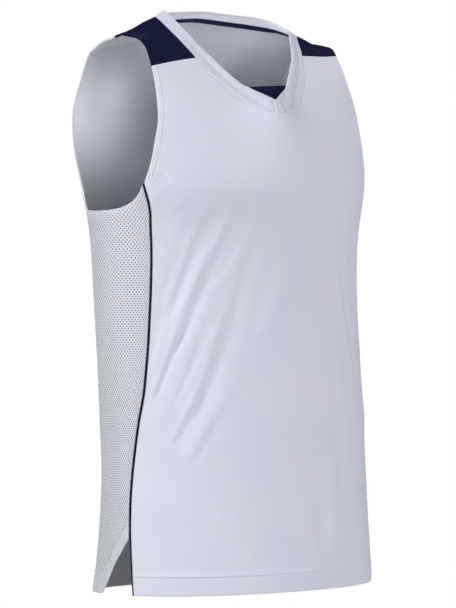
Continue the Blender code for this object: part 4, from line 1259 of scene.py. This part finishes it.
PIECES = (
    (front, "front_panel", "white_knit", white_knit),
    (back, "back_panel", "white_knit", white_knit),
    (side_right, "side_panel_right", "white_mesh", white_mesh),
    (side_left, "side_panel_left", "white_mesh", white_mesh),
    (yoke_right, "yoke_right", "navy_knit", navy_knit),
    (yoke_left, "yoke_left", "navy_knit", navy_knit),
    (band, "collar_band", "white_rib", white_rib),
    (insert, "neck_insert", "navy_knit", navy_trim),
    (tape, "neck_tape", "navy_knit", navy_trim),
    (piping_right, "piping_right", "navy_knit", navy_trim),
    (piping_left, "piping_left", "navy_knit", navy_trim),
)

for piece, node, slot, finish in PIECES:
    piece.data.materials.clear()
    piece.data.materials.append(finish.material)
    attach(piece, "root")
    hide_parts(node)
    area = sum(face.area for face in piece.data.polygons) / 2
    print(piece.name, "area", round(area, 4), "size", [round(s, 3) for s in piece.dimensions])

# %% [markdown]
# ## Stage, light and camera
#
# The jersey hangs in the air as if somebody wore it, so the floor lies well below its hem and the
# backdrop is plain white. The main light stands high on the camera's left. Weaker ones on its right,
# low in front and behind soften the shade, and a dim surround fills the rest. Some light comes in
# through the thin knit and the openings, and a few small lights inside stand for it. The camera looks
# at the jersey from the wearer's right, as the photo does.

# %% Floor
FLOOR_HEIGHT = -1.5
FLOOR_SIZE = 7
FLOOR_LOOK = (0.9, 0.0, 0.5)
FLOOR_GREY = (0.75, 0.75, 0.76)
bpy.ops.object.select_all(action="DESELECT")
bpy.ops.mesh.primitive_plane_add(size=FLOOR_SIZE, location=(0, 0, FLOOR_HEIGHT))
floor = bpy.context.object
floor.name = "floor"
floor_finish = Finish("pale_floor", *FLOOR_LOOK)
floor_finish.use(Base_Color=FLOOR_GREY)
floor.data.materials.append(floor_finish.material)
print("floor at", floor.location.z)

# %% Surround
SKY = (0.93, 0.94, 1.0)
SKY_RANGE = {"From Min": -0.6, "From Max": 0.8, "To Min": 0.11, "To Max": 0.205}
world = bpy.data.worlds.new("soft_surround")
world.use_nodes = True
air = Nodes(world.node_tree)
surround = air.tree.nodes["Background"]
direction = air.node("ShaderNodeTexCoord", output="Generated")
height = air.node("ShaderNodeSeparateXYZ", None, {0: direction}, "Z")
air.feed(surround.inputs["Color"], SKY)
strength = air.node("ShaderNodeMapRange", None, {"Value": height, **SKY_RANGE})
air.feed(surround.inputs["Strength"], strength)
backdrop = air.node("ShaderNodeBackground", None, {"Color": (1, 1, 1)})
seen = air.node("ShaderNodeLightPath", output="Is Camera Ray")
shaders = {0: seen, 1: Output(air, surround.outputs[0]), 2: backdrop}
choice = air.node("ShaderNodeMixShader", None, shaders)
air.feed(air.tree.nodes["World Output"].inputs[0], choice)
bpy.context.scene.world = world
bpy.context.scene.view_settings.view_transform = "Standard"
print("surround from", SKY_RANGE["To Min"], "to", SKY_RANGE["To Max"])

# %% Lights
LIGHT_AIM = -0.37
GLOW_RADIUS = 0.04
# Each light: name, azimuth, height, distance, size and power.
SOFT_LIGHTS = (
    ("key_light", -90, 1.5, 3.0, 1.2, 94), ("fill_light", 45, 1.5, 3.0, 1.2, 39),
    ("front_low_light", -10, -0.42, 3.0, 0.6, 28), ("back_light", 160, 2.0, 2.5, 1.2, 18),
)
# Each glow inside the cloth: name, place and power.
GLOWS = (
    ("armhole_glow", (-0.08, 0.10, -0.10), 0.10), ("armhole_low_glow", (-0.10, 0.10, -0.14), 0.045),
    ("armhole_edge_glow", (-0.14, 0.08, -0.12), 0.145), ("neck_glow", (-0.04, 0.083, -0.025), 0.018),
    ("neck_glow", (0.0, 0.088, -0.025), 0.034), ("neck_glow", (0.04, 0.084, -0.025), 0.040),
    ("neck_glow", (0.08, 0.074, -0.025), 0.046), ("neck_glow", (0.115, 0.057, -0.03), 0.060),
)


def standing(azimuth, distance, height):
    """Place round the jersey. Azimuth 0 is in front of it and 90 on the wearer's left."""
    angle = math.radians(azimuth)
    return Vector((math.sin(angle) * distance, -math.cos(angle) * distance, height))


def facing(place, aim_height):
    """Turn of a light or camera that looks from this place at the middle of the jersey."""
    return (Vector((0, 0, aim_height)) - place).to_track_quat("-Z", "Y").to_euler()


def add_light(kind, name, place, power):
    bpy.ops.object.light_add(type=kind, location=place)
    light = bpy.context.object
    light.name = name
    light.data.energy = power
    return light


for name, azimuth, height, distance, size, power in SOFT_LIGHTS:
    place = standing(azimuth, distance, height)
    light = add_light("AREA", name, place, power)
    light.data.size = size
    light.rotation_euler = facing(place, LIGHT_AIM)
for name, place, power in GLOWS:
    glow = add_light("POINT", name, place, power)
    glow.data.shadow_soft_size = GLOW_RADIUS
    glow.visible_camera = False
    glow.visible_glossy = False
print(len(SOFT_LIGHTS), "lights outside and", len(GLOWS), "glows inside")

# %% Camera
AZIMUTH = -38.0
DISTANCE = 3.5
CAMERA_HEIGHT = -0.418
AIM_HEIGHT = -0.366
PIXELS_PER_METRE = 765
PHOTO_HEIGHT = 608
SENSOR = 36.0
stand = standing(AZIMUTH, DISTANCE, CAMERA_HEIGHT)
bpy.ops.object.camera_add(location=stand)
camera = bpy.context.object
camera.rotation_euler = facing(stand, AIM_HEIGHT)
camera.data.sensor_fit = "VERTICAL"
camera.data.sensor_height = SENSOR
camera.data.lens = PIXELS_PER_METRE * DISTANCE / PHOTO_HEIGHT * SENSOR
bpy.context.scene.camera = camera
print("lens", round(camera.data.lens, 1), "mm")
